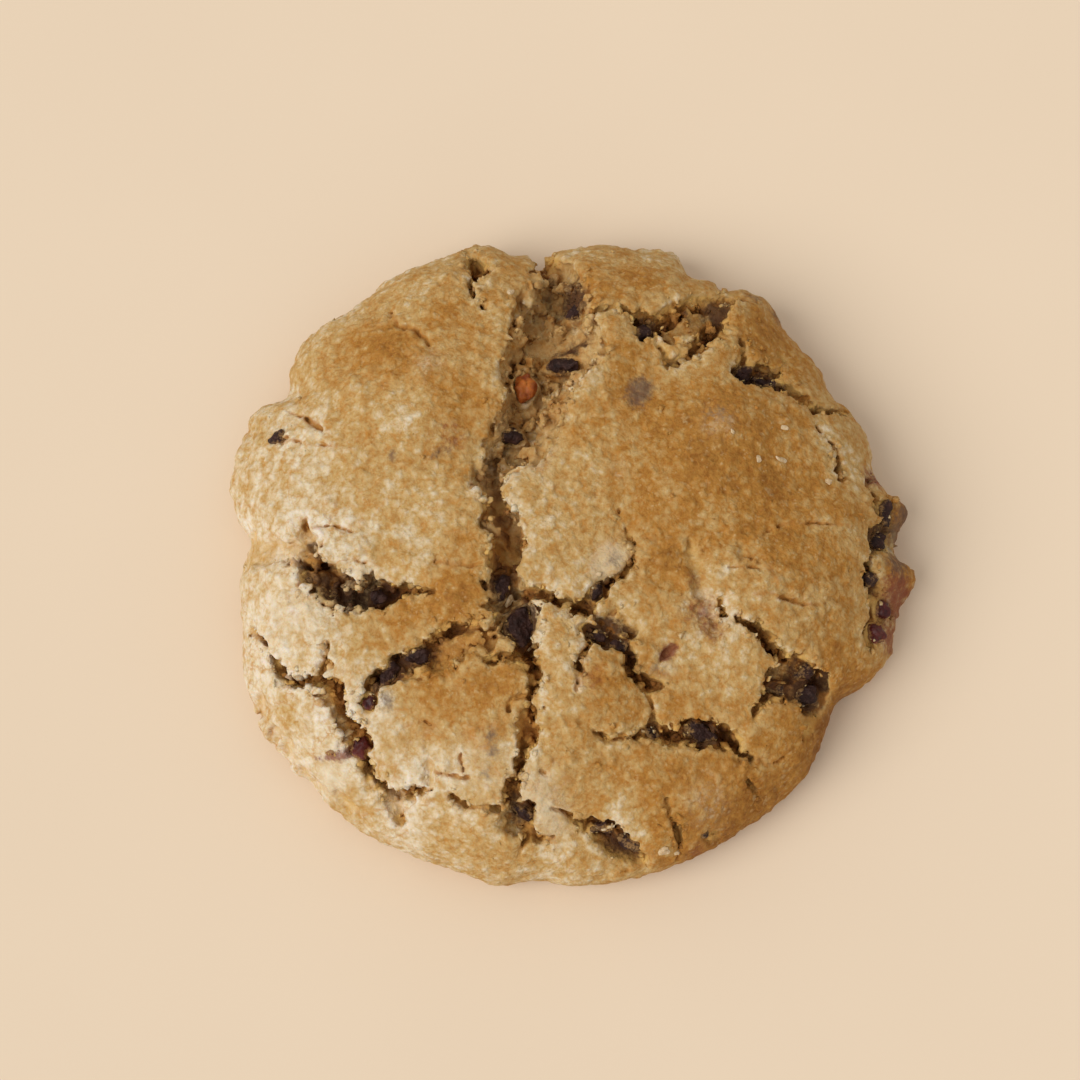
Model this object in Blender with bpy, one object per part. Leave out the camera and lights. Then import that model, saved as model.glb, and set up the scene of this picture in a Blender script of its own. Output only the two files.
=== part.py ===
"""A thick round cookie: cracked golden dough, with dark chips and pieces of dried fruit in its cracks.

Lengths are in millimetres up to the last step, which scales each mesh to metres. The cookie lies on
its flat base with +Z up, and the middle of its outline is over the origin.
"""

import math

import bmesh
import bpy
import numpy as np
from mathutils import Matrix, Vector

MM = 0.001

# The dough's section, from the middle of the top, over the shoulder and the rim, down to the base.
HEIGHT = 22.0
RIM_HEIGHT = 5.0  # the widest ring stands this far above the base
DOME_POWER = 3.2  # how long the top stays flat before it falls to the rim
DOME_ROUNDING = 0.55  # under 1, the shoulder meets the rim steeply
BASE_INSET = 3.5  # the flat base ends this far inside the rim
NOTCH_FADE = 8  # how soon the rim's notches fade towards the middle
SMOOTHING = 28  # degrees each way over which the rim is evened out for the middle
FLATNESS = 1.4  # how far the top of the dome may swell or sink between the cracks

# The rim seen from above: (degrees from +X, radius), one pair for each bump, notch and bend.
OUTLINE = (
    (1, 45.7), (5, 46.4), (9, 48.0), (12, 46.1), (16, 44.9), (21, 45.8), (29, 45.4), (32, 44.5),
    (38, 45.4), (48, 46.0), (55, 47.7), (58, 46.9), (61.5, 45.2), (63, 45.8), (68, 45.4), (71, 47.9),
    (78, 47.8), (85, 47.5), (90, 46.7), (94, 46.1), (96, 44.7), (98, 46.0), (101, 46.3), (104, 48.3),
    (112, 48.5), (122, 49.3), (130, 48.8), (138, 50.4), (145, 49.6), (150.5, 47.8), (153, 50.1),
    (158, 50.4), (164, 50.3), (173, 47.7), (177, 45.6), (180, 46.8), (189, 47.2), (201, 48.9),
    (211, 49.6), (220, 48.8), (234, 48.0), (245, 46.5), (257, 46.6), (265, 45.2), (270, 45.8),
    (275, 45.5), (286, 45.2), (298, 44.6), (306, 44.4), (317, 44.3), (325, 42.8), (331, 42.0),
    (337, 44.7), (342, 46.3), (351, 46.4), (358, 47.8),
)

# The cracks that part the crust into plates: (depth, route), a route being (x, y, half width) points.
CRACKS = (
    (7.0, ((-4.6, 46.5, 1.8), (-2.0, 40.0, 3.3), (-2.2, 32.0, 5.2), (-3.0, 28.0, 5.7), (-6.3, 22.0, 2.8),
           (-7.4, 17.0, 2.6), (-8.0, 13.0, 3.3), (-11.2, 8.0, 2.4), (-10.8, 3.0, 2.1), (-9.2, -1.5, 2.0),
           (-9.5, -7.5, 2.7), (-7.2, -12.5, 2.7), (-6.6, -16.5, 1.3))),
    (4.0, ((-6.5, -8.3, 1.7), (-3.0, -8.9, 1.1), (1.5, -10.2, 1.5), (3.1, -7.6, 1.0), (6.6, -5.2, 0.4),
           (8.0, -2.3, 0.5), (6.6, 2.6, 0.3))),
    (4.5, ((0.6, -13.2, 0.6), (2.8, -13.8, 1.3), (6.8, -15.3, 1.2), (7.6, -18.6, 1.1), (11.3, -21.2, 0.6))),
    (4.0, ((-14.2, 42.5, 1.2), (-13.3, 40.3, 1.3), (-14.1, 37.0, 0.7), (-12.3, 33.5, 0.4))),
    (5.0, ((1.8, 33.2, 1.1), (7.5, 32.8, 0.7), (10.3, 31.2, 1.8), (13.0, 32.0, 1.9), (17.5, 35.2, 1.1),
           (23.5, 36.3, 0.8))),
    (3.0, ((11.2, 29.3, 1.0), (13.4, 25.4, 0.5), (18.2, 27.4, 0.7), (20.0, 30.2, 1.6), (22.0, 35.0, 0.8))),
    (2.0, ((13.5, 30.0, 1.8), (17.5, 31.6, 3.0), (20.0, 32.5, 2.4))),
    (5.5, ((23.4, 28.8, 0.5), (24.3, 25.2, 1.6), (27.5, 24.8, 1.7), (31.6, 23.0, 0.7), (34.0, 20.3, 1.0),
           (37.8, 20.8, 0.7))),
    (4.0, ((41.5, 8.2, 0.5), (44.4, 5.5, 1.3), (43.6, 1.6, 1.6), (42.0, -1.2, 0.7), (41.7, -4.3, 1.2),
           (42.9, -7.2, 1.5), (42.0, -10.8, 1.9), (41.4, -13.5, 0.8))),
    (6.0, ((-37.3, 3.0, 0.6), (-36.3, -2.5, 2.1), (-33.0, -7.0, 2.5), (-29.0, -8.0, 2.5), (-25.0, -7.8, 1.2),
           (-19.0, -7.9, 0.4))),
    (1.5, ((-38.0, -0.8, 1.4), (-43.5, -4.5, 1.2))),
    (5.0, ((-44.5, -11.5, 0.5), (-40.6, -18.2, 1.0), (-34.6, -19.4, 1.0), (-32.0, -22.5, 1.5),
           (-29.6, -28.0, 1.7), (-27.0, -33.0, 0.9), (-24.4, -35.8, 1.6), (-23.3, -39.3, 0.9))),
    (3.0, ((-33.8, -15.2, 0.6), (-34.0, -19.2, 0.8))),
    (3.0, ((-24.0, -34.8, 0.9), (-19.0, -34.5, 0.4))),
    (4.5, ((-10.8, -11.7, 0.4), (-16.3, -13.9, 1.0), (-21.0, -16.3, 1.6), (-26.6, -19.2, 1.5),
           (-28.0, -23.2, 0.9))),
    (2.0, ((-22.0, -18.6, 1.2), (-16.5, -17.6, 1.1))),
    (3.5, ((-6.4, -17.6, 0.9), (-9.8, -16.9, 0.8), (-14.8, -18.7, 0.4))),
    (6.0, ((-6.6, -16.5, 1.2), (-5.6, -20.5, 1.1), (-5.9, -24.3, 1.2), (-6.5, -27.0, 1.5), (-8.1, -33.5, 1.5),
           (-8.0, -37.8, 1.7), (-4.6, -41.2, 0.6))),
    (2.5, ((-16.5, -35.7, 0.5), (-10.0, -36.7, 0.7))),
    (5.0, ((2.8, -26.8, 0.4), (8.5, -27.7, 0.5), (11.2, -27.3, 1.3), (17.0, -27.3, 2.0), (20.5, -27.3, 1.9),
           (24.3, -30.0, 0.7))),
    (3.0, ((10.4, -22.8, 0.4), (10.2, -26.2, 0.7))),
    (5.0, ((20.0, -10.6, 0.4), (24.6, -12.8, 0.9), (28.0, -16.2, 1.0), (32.2, -18.2, 1.7),
           (32.5, -21.2, 2.3), (28.0, -20.9, 1.4), (23.6, -22.3, 0.8))),
    (3.0, ((27.5, -17.8, 1.6), (29.8, -18.8, 2.0))),
    (4.5, ((-3.4, -36.7, 0.4), (2.0, -39.4, 1.0), (7.2, -41.9, 1.1), (10.5, -42.0, 0.4))),
    (2.5, ((12.4, -35.0, 0.4), (14.2, -39.5, 0.9), (14.1, -43.0, 0.8))),
)
NARROWEST = 0.55  # least half width of a crack
CRACK_WALL = 0.8  # a crack's wall takes this much of its width, or all of it where it is narrower
DEEPEST_SHARE = 3.2  # a crack is at most this many times as deep as its half width
RAGGED = 0.4  # how far a lip strays from its route, in bites about RAGGED_SIZE long
RAGGED_SIZE = 3.0
CRUMB = 0.9  # height of the lumps on a crack's floor, about CRUMB_SIZE across
CRUMB_SIZE = 3.4
FOOT = 3.0  # cracks and lumps die out from twice this height to this one, so the base stays whole
SIDE_DENT = 0.35  # unevenness of the side, about SIDE_DENT_SIZE across
SIDE_DENT_SIZE = 9.0

# Dark chips: (x, y, length, width, turn in degrees, depth of its middle under the unbroken dome).
CHIPS = (
    (-41.7, 15.9, 2.8, 2.0, 35, 0.5),
    (0.9, 35.4, 3.6, 2.0, 55, 3.6),
    (-1.6, 26.6, 4.8, 2.2, 8, 4.6),
    (-8.8, 15.5, 3.8, 2.4, 10, 4.8),
    (10.2, 30.7, 3.2, 2.8, 80, 2.4),
    (21.9, 36.0, 3.0, 1.8, -10, 1.6),
    (24.3, 25.0, 3.4, 2.6, 85, 2.6),
    (28.0, 24.7, 4.0, 2.0, -15, 3.0),
    (44.6, 6.0, 4.2, 2.2, 82, 1.2),
    (43.3, 1.8, 2.6, 2.6, 0, 1.2),
    (41.8, -4.4, 2.6, 2.2, 75, 1.3),
    (-10.2, -6.8, 3.8, 2.6, 80, 3.8),
    (-7.2, -12.3, 5.4, 4.2, 55, 3.2),
    (3.0, -7.8, 2.8, 1.8, 72, 1.6),
    (2.6, -13.6, 3.4, 1.9, -20, 2.2),
    (6.1, -15.1, 3.0, 1.9, -8, 2.2),
    (-37.1, -5.2, 2.0, 1.8, 20, 2.0),
    (-35.0, -7.6, 2.2, 1.8, 60, 3.6),
    (-27.3, -7.8, 2.2, 2.0, 10, 2.8),
    (-21.8, -16.5, 3.8, 2.2, 12, 2.0),
    (-26.0, -19.0, 4.4, 2.3, 38, 2.2),
    (-7.2, -38.0, 4.0, 1.9, -22, 2.4),
    (3.8, -39.8, 3.2, 1.8, 0, 2.0),
    (7.4, -41.9, 3.4, 1.8, -18, 1.8),
    (10.8, -27.4, 2.2, 2.0, 0, 2.4),
    (17.9, -27.2, 5.2, 3.0, 0, 3.0),
    (32.3, -17.6, 2.8, 2.4, 90, 2.2),
    (32.6, -21.4, 4.2, 3.0, 0, 2.4),
    (28.2, -21.0, 3.0, 1.8, 0, 2.6),
    (18.1, -39.2, 1.9, 1.5, 65, 0.4),
)
CHIP_CORNERS = 11  # a chip is the hull of this many corners, thrown by its own seed
THICKNESS = 0.85  # of a piece, as a share of its width

# Pieces of dried fruit, in the same order of numbers as the chips.
FRUIT = (
    (-6.9, 22.7, 4.6, 3.4, 80, 4.4),
    (42.3, 10.5, 3.4, 1.8, 75, 0.8),
    (43.9, -8.0, 3.4, 2.6, 80, 0.9),
    (42.6, -11.8, 3.4, 3.0, 60, 0.9),
    (-27.9, -22.7, 3.0, 2.0, 85, 1.3),
    (-29.8, -28.8, 3.8, 3.4, 60, 2.2),
    (-33.0, -28.6, 2.4, 1.2, 5, 0.2),
)
ORANGE_FRUIT = 0  # the first piece is orange, and the others are wine red
FRUIT_DENT = 0.07
POCKET_GAP = 0.32  # the dough stays this far from a chip or a piece of fruit
BLANK = 12.0  # side of the block that a pocket's cutter is sliced from

RINGS = 128  # the dough is worked in rings, the outermost at the edge of the base
SECTION_STEPS = 400
DOUGH_SHARE = 0.075  # of the worked faces that stay where the surface is plain
WAVES = 16  # how many waves a grain is the sum of

DOUGH_COLOUR = (0.56, 0.36, 0.15, 1.0)
CHIP_COLOUR = (0.030, 0.014, 0.014, 1.0)
RED_FRUIT_COLOUR = (0.12, 0.022, 0.016, 1.0)
ORANGE_FRUIT_COLOUR = (0.30, 0.070, 0.012, 1.0)


def rim_radius(angle):
    """The outline's radius, on a smooth closed curve through its points."""
    degrees, radii = np.array(OUTLINE).T
    degrees = np.concatenate([degrees[-2:] - 360, degrees, degrees[:3] + 360])
    radii = np.concatenate([radii[-2:], radii, radii[:3]])
    slopes = np.gradient(radii, degrees)
    wanted = np.degrees(angle) % 360
    left = np.searchsorted(degrees, wanted, side="right") - 1
    span = degrees[left + 1] - degrees[left]
    t = (wanted - degrees[left]) / span
    return (
        radii[left] * (1 + 2 * t) * (1 - t) ** 2
        + radii[left + 1] * t ** 2 * (3 - 2 * t)
        + slopes[left] * span * t * (1 - t) ** 2
        - slopes[left + 1] * span * t ** 2 * (1 - t)
    )


def outline_middle():
    """The middle of the outline's bounding box, which goes over the origin."""
    angle = np.linspace(0, math.tau, 1440)
    x = rim_radius(angle) * np.cos(angle)
    y = rim_radius(angle) * np.sin(angle)
    return (x.min() + x.max()) / 2, (y.min() + y.max()) / 2


MIDDLE_X, MIDDLE_Y = outline_middle()
MEAN_RADIUS = float(np.mean([radius for _, radius in OUTLINE]))


def section():
    """Points of the section at even steps along it: (share of the rim's radius, height)."""
    share = np.linspace(0, 1, SECTION_STEPS) ** 0.5
    top = RIM_HEIGHT + (HEIGHT - RIM_HEIGHT) * (1 - share ** DOME_POWER) ** DOME_ROUNDING
    turn = np.linspace(0, math.pi / 2, SECTION_STEPS // 8)[1:]
    inset = BASE_INSET / MEAN_RADIUS
    share = np.concatenate([share, 1 - inset * (1 - np.cos(turn))])
    height = np.concatenate([top, RIM_HEIGHT * (1 - np.sin(turn))])
    along = np.concatenate([[0], np.cumsum(np.hypot(np.diff(share * MEAN_RADIUS), np.diff(height)))])
    return along / along[-1], share, height


def reach_at(share, angle):
    """The dome's radius at a share of the way to the rim: the rim's bumps and notches fade inwards."""
    spread = np.radians(np.arange(-SMOOTHING, SMOOTHING + 1, 4))
    plain = sum(rim_radius(angle + turn) for turn in spread) / len(spread)
    return share * (plain + (rim_radius(angle) - plain) * share ** NOTCH_FADE)


def on_dome(way, angle):
    """Points of the unbroken dome and their outward directions. way is 0 at the top, 1 at the base."""
    along, share, height = section()
    reach = reach_at(np.interp(way, along, share), angle)
    point = np.stack([reach * np.cos(angle), reach * np.sin(angle), np.interp(way, along, height)], 1)
    fall = np.interp(way, along, -np.gradient(height, along))
    spread = np.interp(way, along, np.gradient(share, along)) * MEAN_RADIUS
    outward = np.stack([fall * np.cos(angle), fall * np.sin(angle), spread], 1)
    return point, outward / np.linalg.norm(outward, axis=1)[:, None]


def grain(point, size, seed):
    """Smooth unevenness about size across, mostly between -1 and 1 and the same on every run."""
    rng = np.random.default_rng(seed)
    total = np.zeros(len(point))
    for _ in range(WAVES):
        direction = rng.normal(size=3)
        wave = math.tau / (size * rng.uniform(0.7, 1.5)) * direction / np.linalg.norm(direction)
        total += np.sin(point @ wave + rng.uniform(0, math.tau))
    return total * math.sqrt(2 / WAVES)


def crack_drop(point):
    """How far each point sinks into a crack, and the share of a crack's wall that it is past."""
    x, y = point[:, 0], point[:, 1]
    stray = grain(point, RAGGED_SIZE, 3)
    drop = np.zeros(len(point))
    inside = np.zeros(len(point))
    for depth, route in CRACKS:
        for (x0, y0, half0), (x1, y1, half1) in zip(route, route[1:]):
            length = math.hypot(x1 - x0, y1 - y0)
            t = ((x - x0) * (x1 - x0) + (y - y0) * (y1 - y0)) / length ** 2
            t = np.clip(t, 0, 1)
            half = np.maximum(half0 + (half1 - half0) * t, NARROWEST)
            away = np.hypot(x - x0 - t * (x1 - x0), y - y0 - t * (y1 - y0)) - half
            past = (RAGGED * stray * np.minimum(half, 1) - away) / np.minimum(half, CRACK_WALL)
            past = np.clip(past, 0, 1)
            past = past * past * (3 - 2 * past)
            drop = np.maximum(drop, past * np.minimum(depth, DEEPEST_SHARE * half))
            inside = np.maximum(inside, past)
    return drop, inside


def ring_disc():
    """Rings round a middle point, the k-th of 6 k points, as (way, angle) of each and the faces."""
    way, angle, faces, first = [0.0], [0.0], [], 0
    for ring in range(1, RINGS + 1):
        start, count, inner = len(way), 6 * ring, max(6 * (ring - 1), 1)
        way += [ring / RINGS] * count
        angle += [math.tau * i / count for i in range(count)]
        for i in range(count):
            side, place = divmod(i, ring)
            below = first + (side * (ring - 1) + place) % inner
            faces.append((below, start + i, start + (i + 1) % count))
            if place < ring - 1:
                faces.append((below, start + (i + 1) % count, first + (side * (ring - 1) + place + 1) % inner))
        first = start
    return np.array(way), np.array(angle), faces


def new_object(name, bm, material):
    """Turns a bmesh in millimetres into a named object in metres, over the origin."""
    bmesh.ops.translate(bm, verts=bm.verts, vec=(-MIDDLE_X, -MIDDLE_Y, 0))
    bmesh.ops.scale(bm, verts=bm.verts, vec=(MM, MM, MM))
    bmesh.ops.recalc_face_normals(bm, faces=bm.faces)
    mesh = bpy.data.meshes.new(name)
    bm.to_mesh(mesh)
    bm.free()
    if material:
        mesh.materials.append(material)
    made = bpy.data.objects.new(name, mesh)
    bpy.context.scene.collection.objects.link(made)
    return made


def new_material(name, colour, roughness):
    material = bpy.data.materials.new(name)
    material.use_nodes = True
    shader = material.node_tree.nodes["Principled BSDF"]
    shader.inputs["Base Color"].default_value = colour
    shader.inputs["Roughness"].default_value = roughness
    shader.inputs["Metallic"].default_value = 0.0
    return material


def make_dough(material):
    """The dough: a dome with its cracks, lumps and dents, closed by a flat base."""
    way, angle, faces = ring_disc()
    point, outward = on_dome(way, angle)
    drop, inside = crack_drop(point)
    upper = np.clip((point[:, 2] - RIM_HEIGHT) / (HEIGHT - RIM_HEIGHT), 0, 1)
    lumps = CRUMB * inside * grain(point, CRUMB_SIZE, 5)
    swell = FLATNESS * 0.5 * upper * (1 - inside) * grain(point, 24.0, 7)
    dents = SIDE_DENT * (1 - upper) * np.clip(point[:, 2] / 2, 0, 1) * grain(point, SIDE_DENT_SIZE, 9)
    fade = np.clip((point[:, 2] - FOOT) / FOOT, 0, 1)
    point = point + outward * ((lumps - drop) * fade + swell + dents)[:, None]
    bm = bmesh.new()
    verts = [bm.verts.new(place) for place in point]
    for corners in faces:
        bm.faces.new([verts[i] for i in corners])
    bm.faces.new(verts[:-6 * RINGS - 1:-1])
    bmesh.ops.triangulate(bm, faces=[face for face in bm.faces if len(face.verts) > 4])
    return new_object("dough", bm, material)


def resting_place(x, y, sink):
    """The point that lies sink below the unbroken dome at (x, y)."""
    along, share, _ = section()
    angle = math.atan2(y, x)
    top = slice(0, SECTION_STEPS)
    way = np.interp(math.hypot(x, y), reach_at(share[top], angle), along[top])
    point, outward = on_dome(np.array([way]), np.array([angle]))
    return Vector(point[0] - outward[0] * sink)


def settled(bm, seed, place):
    """Gives a shape of unit half sizes its real size, tips it a little by its seed and puts it in place."""
    x, y, length, width, turn, sink = place
    half = (length / 2, width / 2, width / 2 * THICKNESS)
    rng = np.random.default_rng(seed)
    tip = Matrix.Rotation(rng.uniform(-0.3, 0.3), 4, "X") @ Matrix.Rotation(rng.uniform(-0.2, 0.2), 4, "Y")
    turned = Matrix.Rotation(math.radians(turn), 4, "Z") @ tip
    bm.transform(Matrix.Translation(resting_place(x, y, sink)) @ turned @ Matrix.Diagonal((*half, 1)))
    bmesh.ops.recalc_face_normals(bm, faces=bm.faces)


def wrap(bm):
    """Puts the convex hull round loose points and drops those inside it."""
    bmesh.ops.convex_hull(bm, input=bm.verts)
    bmesh.ops.delete(bm, geom=[vert for vert in bm.verts if not vert.link_faces], context="VERTS")


def chip_shape(seed, place):
    """An angular chip: the hull of corners thrown on a rounded box, spread to fill its length and width."""
    corners = np.random.default_rng(seed).normal(size=(CHIP_CORNERS, 3))
    corners /= np.linalg.norm(corners, ord=4, axis=1)[:, None]
    low, high = corners.min(0), corners.max(0)
    bm = bmesh.new()
    for corner in (2 * corners - low - high) / (high - low):
        bm.verts.new(corner)
    wrap(bm)
    settled(bm, seed + 1, place)
    return bm


def fruit_shape(seed, place):
    """A shrunken berry with a few wide dents."""
    bm = bmesh.new()
    bmesh.ops.create_icosphere(bm, subdivisions=1, radius=1.0)
    dent = 1 + FRUIT_DENT * grain(np.array([vert.co for vert in bm.verts]), 2.4, seed)
    for vert, factor in zip(bm.verts, dent):
        vert.co *= factor
    settled(bm, seed + 1, place)
    return bm


def grown_hull(bm):
    """The piece's hull with each of its faces moved out by the gap."""
    faces = [(face.calc_center_median(), face.normal.copy()) for face in bm.faces]
    middle = sum((centre for centre, _ in faces), Vector()) / len(faces)
    grown = bmesh.new()
    bmesh.ops.create_cube(grown, size=BLANK, matrix=Matrix.Translation(middle))
    for centre, normal in faces:
        if normal.dot(centre - middle) < 0:
            normal = -normal
        every = grown.verts[:] + grown.edges[:] + grown.faces[:]
        plane = {"plane_co": centre + normal * POCKET_GAP, "plane_no": normal}
        bmesh.ops.bisect_plane(grown, geom=every, clear_outer=True, **plane)
        bmesh.ops.holes_fill(grown, edges=[edge for edge in grown.edges if edge.is_boundary])
    return grown


def pocket_for(name, bm):
    """The cutter that leaves a gap all round a piece."""
    pocket = new_object(name, grown_hull(bm), None)
    pocket.hide_render = True
    pocket.display_type = "WIRE"
    return pocket


def make_pieces(kind, places, shape, first_seed, materials, pockets):
    """One object for each place, and its pocket cutter in the collection of pockets."""
    for number, place in enumerate(places):
        name = f"{kind}_{number + 1:02d}"
        bm = shape(first_seed + 10 * number, place)
        pocket = pocket_for(f"pocket_{name}", bm)
        bpy.context.scene.collection.objects.unlink(pocket)
        pockets.objects.link(pocket)
        new_object(name, bm, materials[number])


def thin_and_cut(dough, pockets):
    """Keeps few faces where the dough is plain, then cuts the pockets that the pieces lie in."""
    thin = dough.modifiers.new("thin", "DECIMATE")
    thin.decimate_type = "COLLAPSE"
    thin.ratio = DOUGH_SHARE
    cut = dough.modifiers.new("pockets", "BOOLEAN")
    cut.operation = "DIFFERENCE"
    cut.operand_type = "COLLECTION"
    cut.collection = pockets
    cut.solver = "EXACT"


def main():
    for old in list(bpy.data.objects):
        bpy.data.objects.remove(old)
    pockets = bpy.data.collections.new("pockets")
    bpy.context.scene.collection.children.link(pockets)
    dark = new_material("dark chip", CHIP_COLOUR, 0.35)
    red = new_material("wine red fruit", RED_FRUIT_COLOUR, 0.3)
    orange = new_material("orange fruit", ORANGE_FRUIT_COLOUR, 0.3)
    dough = make_dough(new_material("baked dough", DOUGH_COLOUR, 0.75))
    make_pieces("chip", CHIPS, chip_shape, 100, [dark] * len(CHIPS), pockets)
    fruit_colours = [orange if number == ORANGE_FRUIT else red for number in range(len(FRUIT))]
    make_pieces("fruit", FRUIT, fruit_shape, 900, fruit_colours, pockets)
    thin_and_cut(dough, pockets)


main()
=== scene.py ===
"""A thick round cookie with cracked golden crust, dark chips and dried fruit, on a pale floor.

Lengths are in millimetres in the tables and in the working of the dough. The tables are in the plan of the
cookie seen from above; the last step of each mesh moves the middle of the outline over the origin and
scales it to metres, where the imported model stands.
"""

import itertools
import math

import bmesh
import bpy
import numpy as np
from mathutils import Matrix, Vector
from mathutils.bvhtree import BVHTree


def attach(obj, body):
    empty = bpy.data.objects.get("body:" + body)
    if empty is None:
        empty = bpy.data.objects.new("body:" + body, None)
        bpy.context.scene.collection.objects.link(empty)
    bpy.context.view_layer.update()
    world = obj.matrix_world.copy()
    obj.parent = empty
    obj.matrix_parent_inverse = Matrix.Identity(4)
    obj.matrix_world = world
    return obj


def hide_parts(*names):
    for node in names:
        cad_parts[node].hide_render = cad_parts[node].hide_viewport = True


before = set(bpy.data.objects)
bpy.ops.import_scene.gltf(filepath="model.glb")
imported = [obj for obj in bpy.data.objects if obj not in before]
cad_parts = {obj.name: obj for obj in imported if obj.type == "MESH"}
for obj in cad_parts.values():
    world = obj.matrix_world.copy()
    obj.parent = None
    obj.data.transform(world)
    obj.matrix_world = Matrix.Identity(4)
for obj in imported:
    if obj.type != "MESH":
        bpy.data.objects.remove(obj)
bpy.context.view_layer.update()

MM = 0.001

# ---------------------------------------------------------------------------------------------------------
# Sizes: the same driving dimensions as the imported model, in millimetres.

HEIGHT = 22.0
RIM_HEIGHT = 5.0  # the widest ring stands this far above the base
DOME_POWER = 3.2  # how long the top stays flat before it falls to the rim
DOME_ROUNDING = 0.55  # under 1, the shoulder meets the rim steeply
BASE_INSET = 3.5  # the flat base ends this far inside the rim
NOTCH_FADE = 8  # how soon the rim's notches fade towards the middle
SMOOTHING = 28  # degrees each way over which the rim is evened out for the middle
SMOOTHING_STEP = 4
RIM_STEPS = 1440  # round the rim
FLATNESS = 1.4  # how far the top of the dome may swell or sink between the cracks
SWELL_SIZE = 24.0
SWELL_WAVES = 16  # that the swelling is the sum of
SWELL_SPREAD = (0.7, 1.5)  # the least and the most of a wave's length, in sizes
SECTION_STEPS = 240  # points of the section from the middle of the top to the rim
FOOT_STEPS = 30  # and round the foot

# The rim seen from above: (degrees from +X, radius), one pair for each bump, notch and bend.
OUTLINE = (
    (1, 45.7), (5, 46.4), (9, 48.0), (12, 46.1), (16, 44.9), (21, 45.8), (29, 45.4), (32, 44.5),
    (38, 45.4), (48, 46.0), (55, 47.7), (58, 46.9), (61.5, 45.2), (63, 45.8), (68, 45.4), (71, 47.9),
    (78, 47.8), (85, 47.5), (90, 46.7), (94, 46.1), (96, 44.7), (98, 46.0), (101, 46.3), (104, 48.3),
    (112, 48.5), (122, 49.3), (130, 48.8), (138, 50.4), (145, 49.6), (150.5, 47.8), (153, 50.1),
    (158, 50.4), (164, 50.3), (173, 47.7), (177, 45.6), (180, 46.8), (189, 47.2), (201, 48.9),
    (211, 49.6), (220, 48.8), (234, 48.0), (245, 46.5), (257, 46.6), (265, 45.2), (270, 45.8),
    (275, 45.5), (286, 45.2), (298, 44.6), (306, 44.4), (317, 44.3), (325, 42.8), (331, 42.0),
    (337, 44.7), (342, 46.3), (351, 46.4), (358, 47.8),
)

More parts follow.
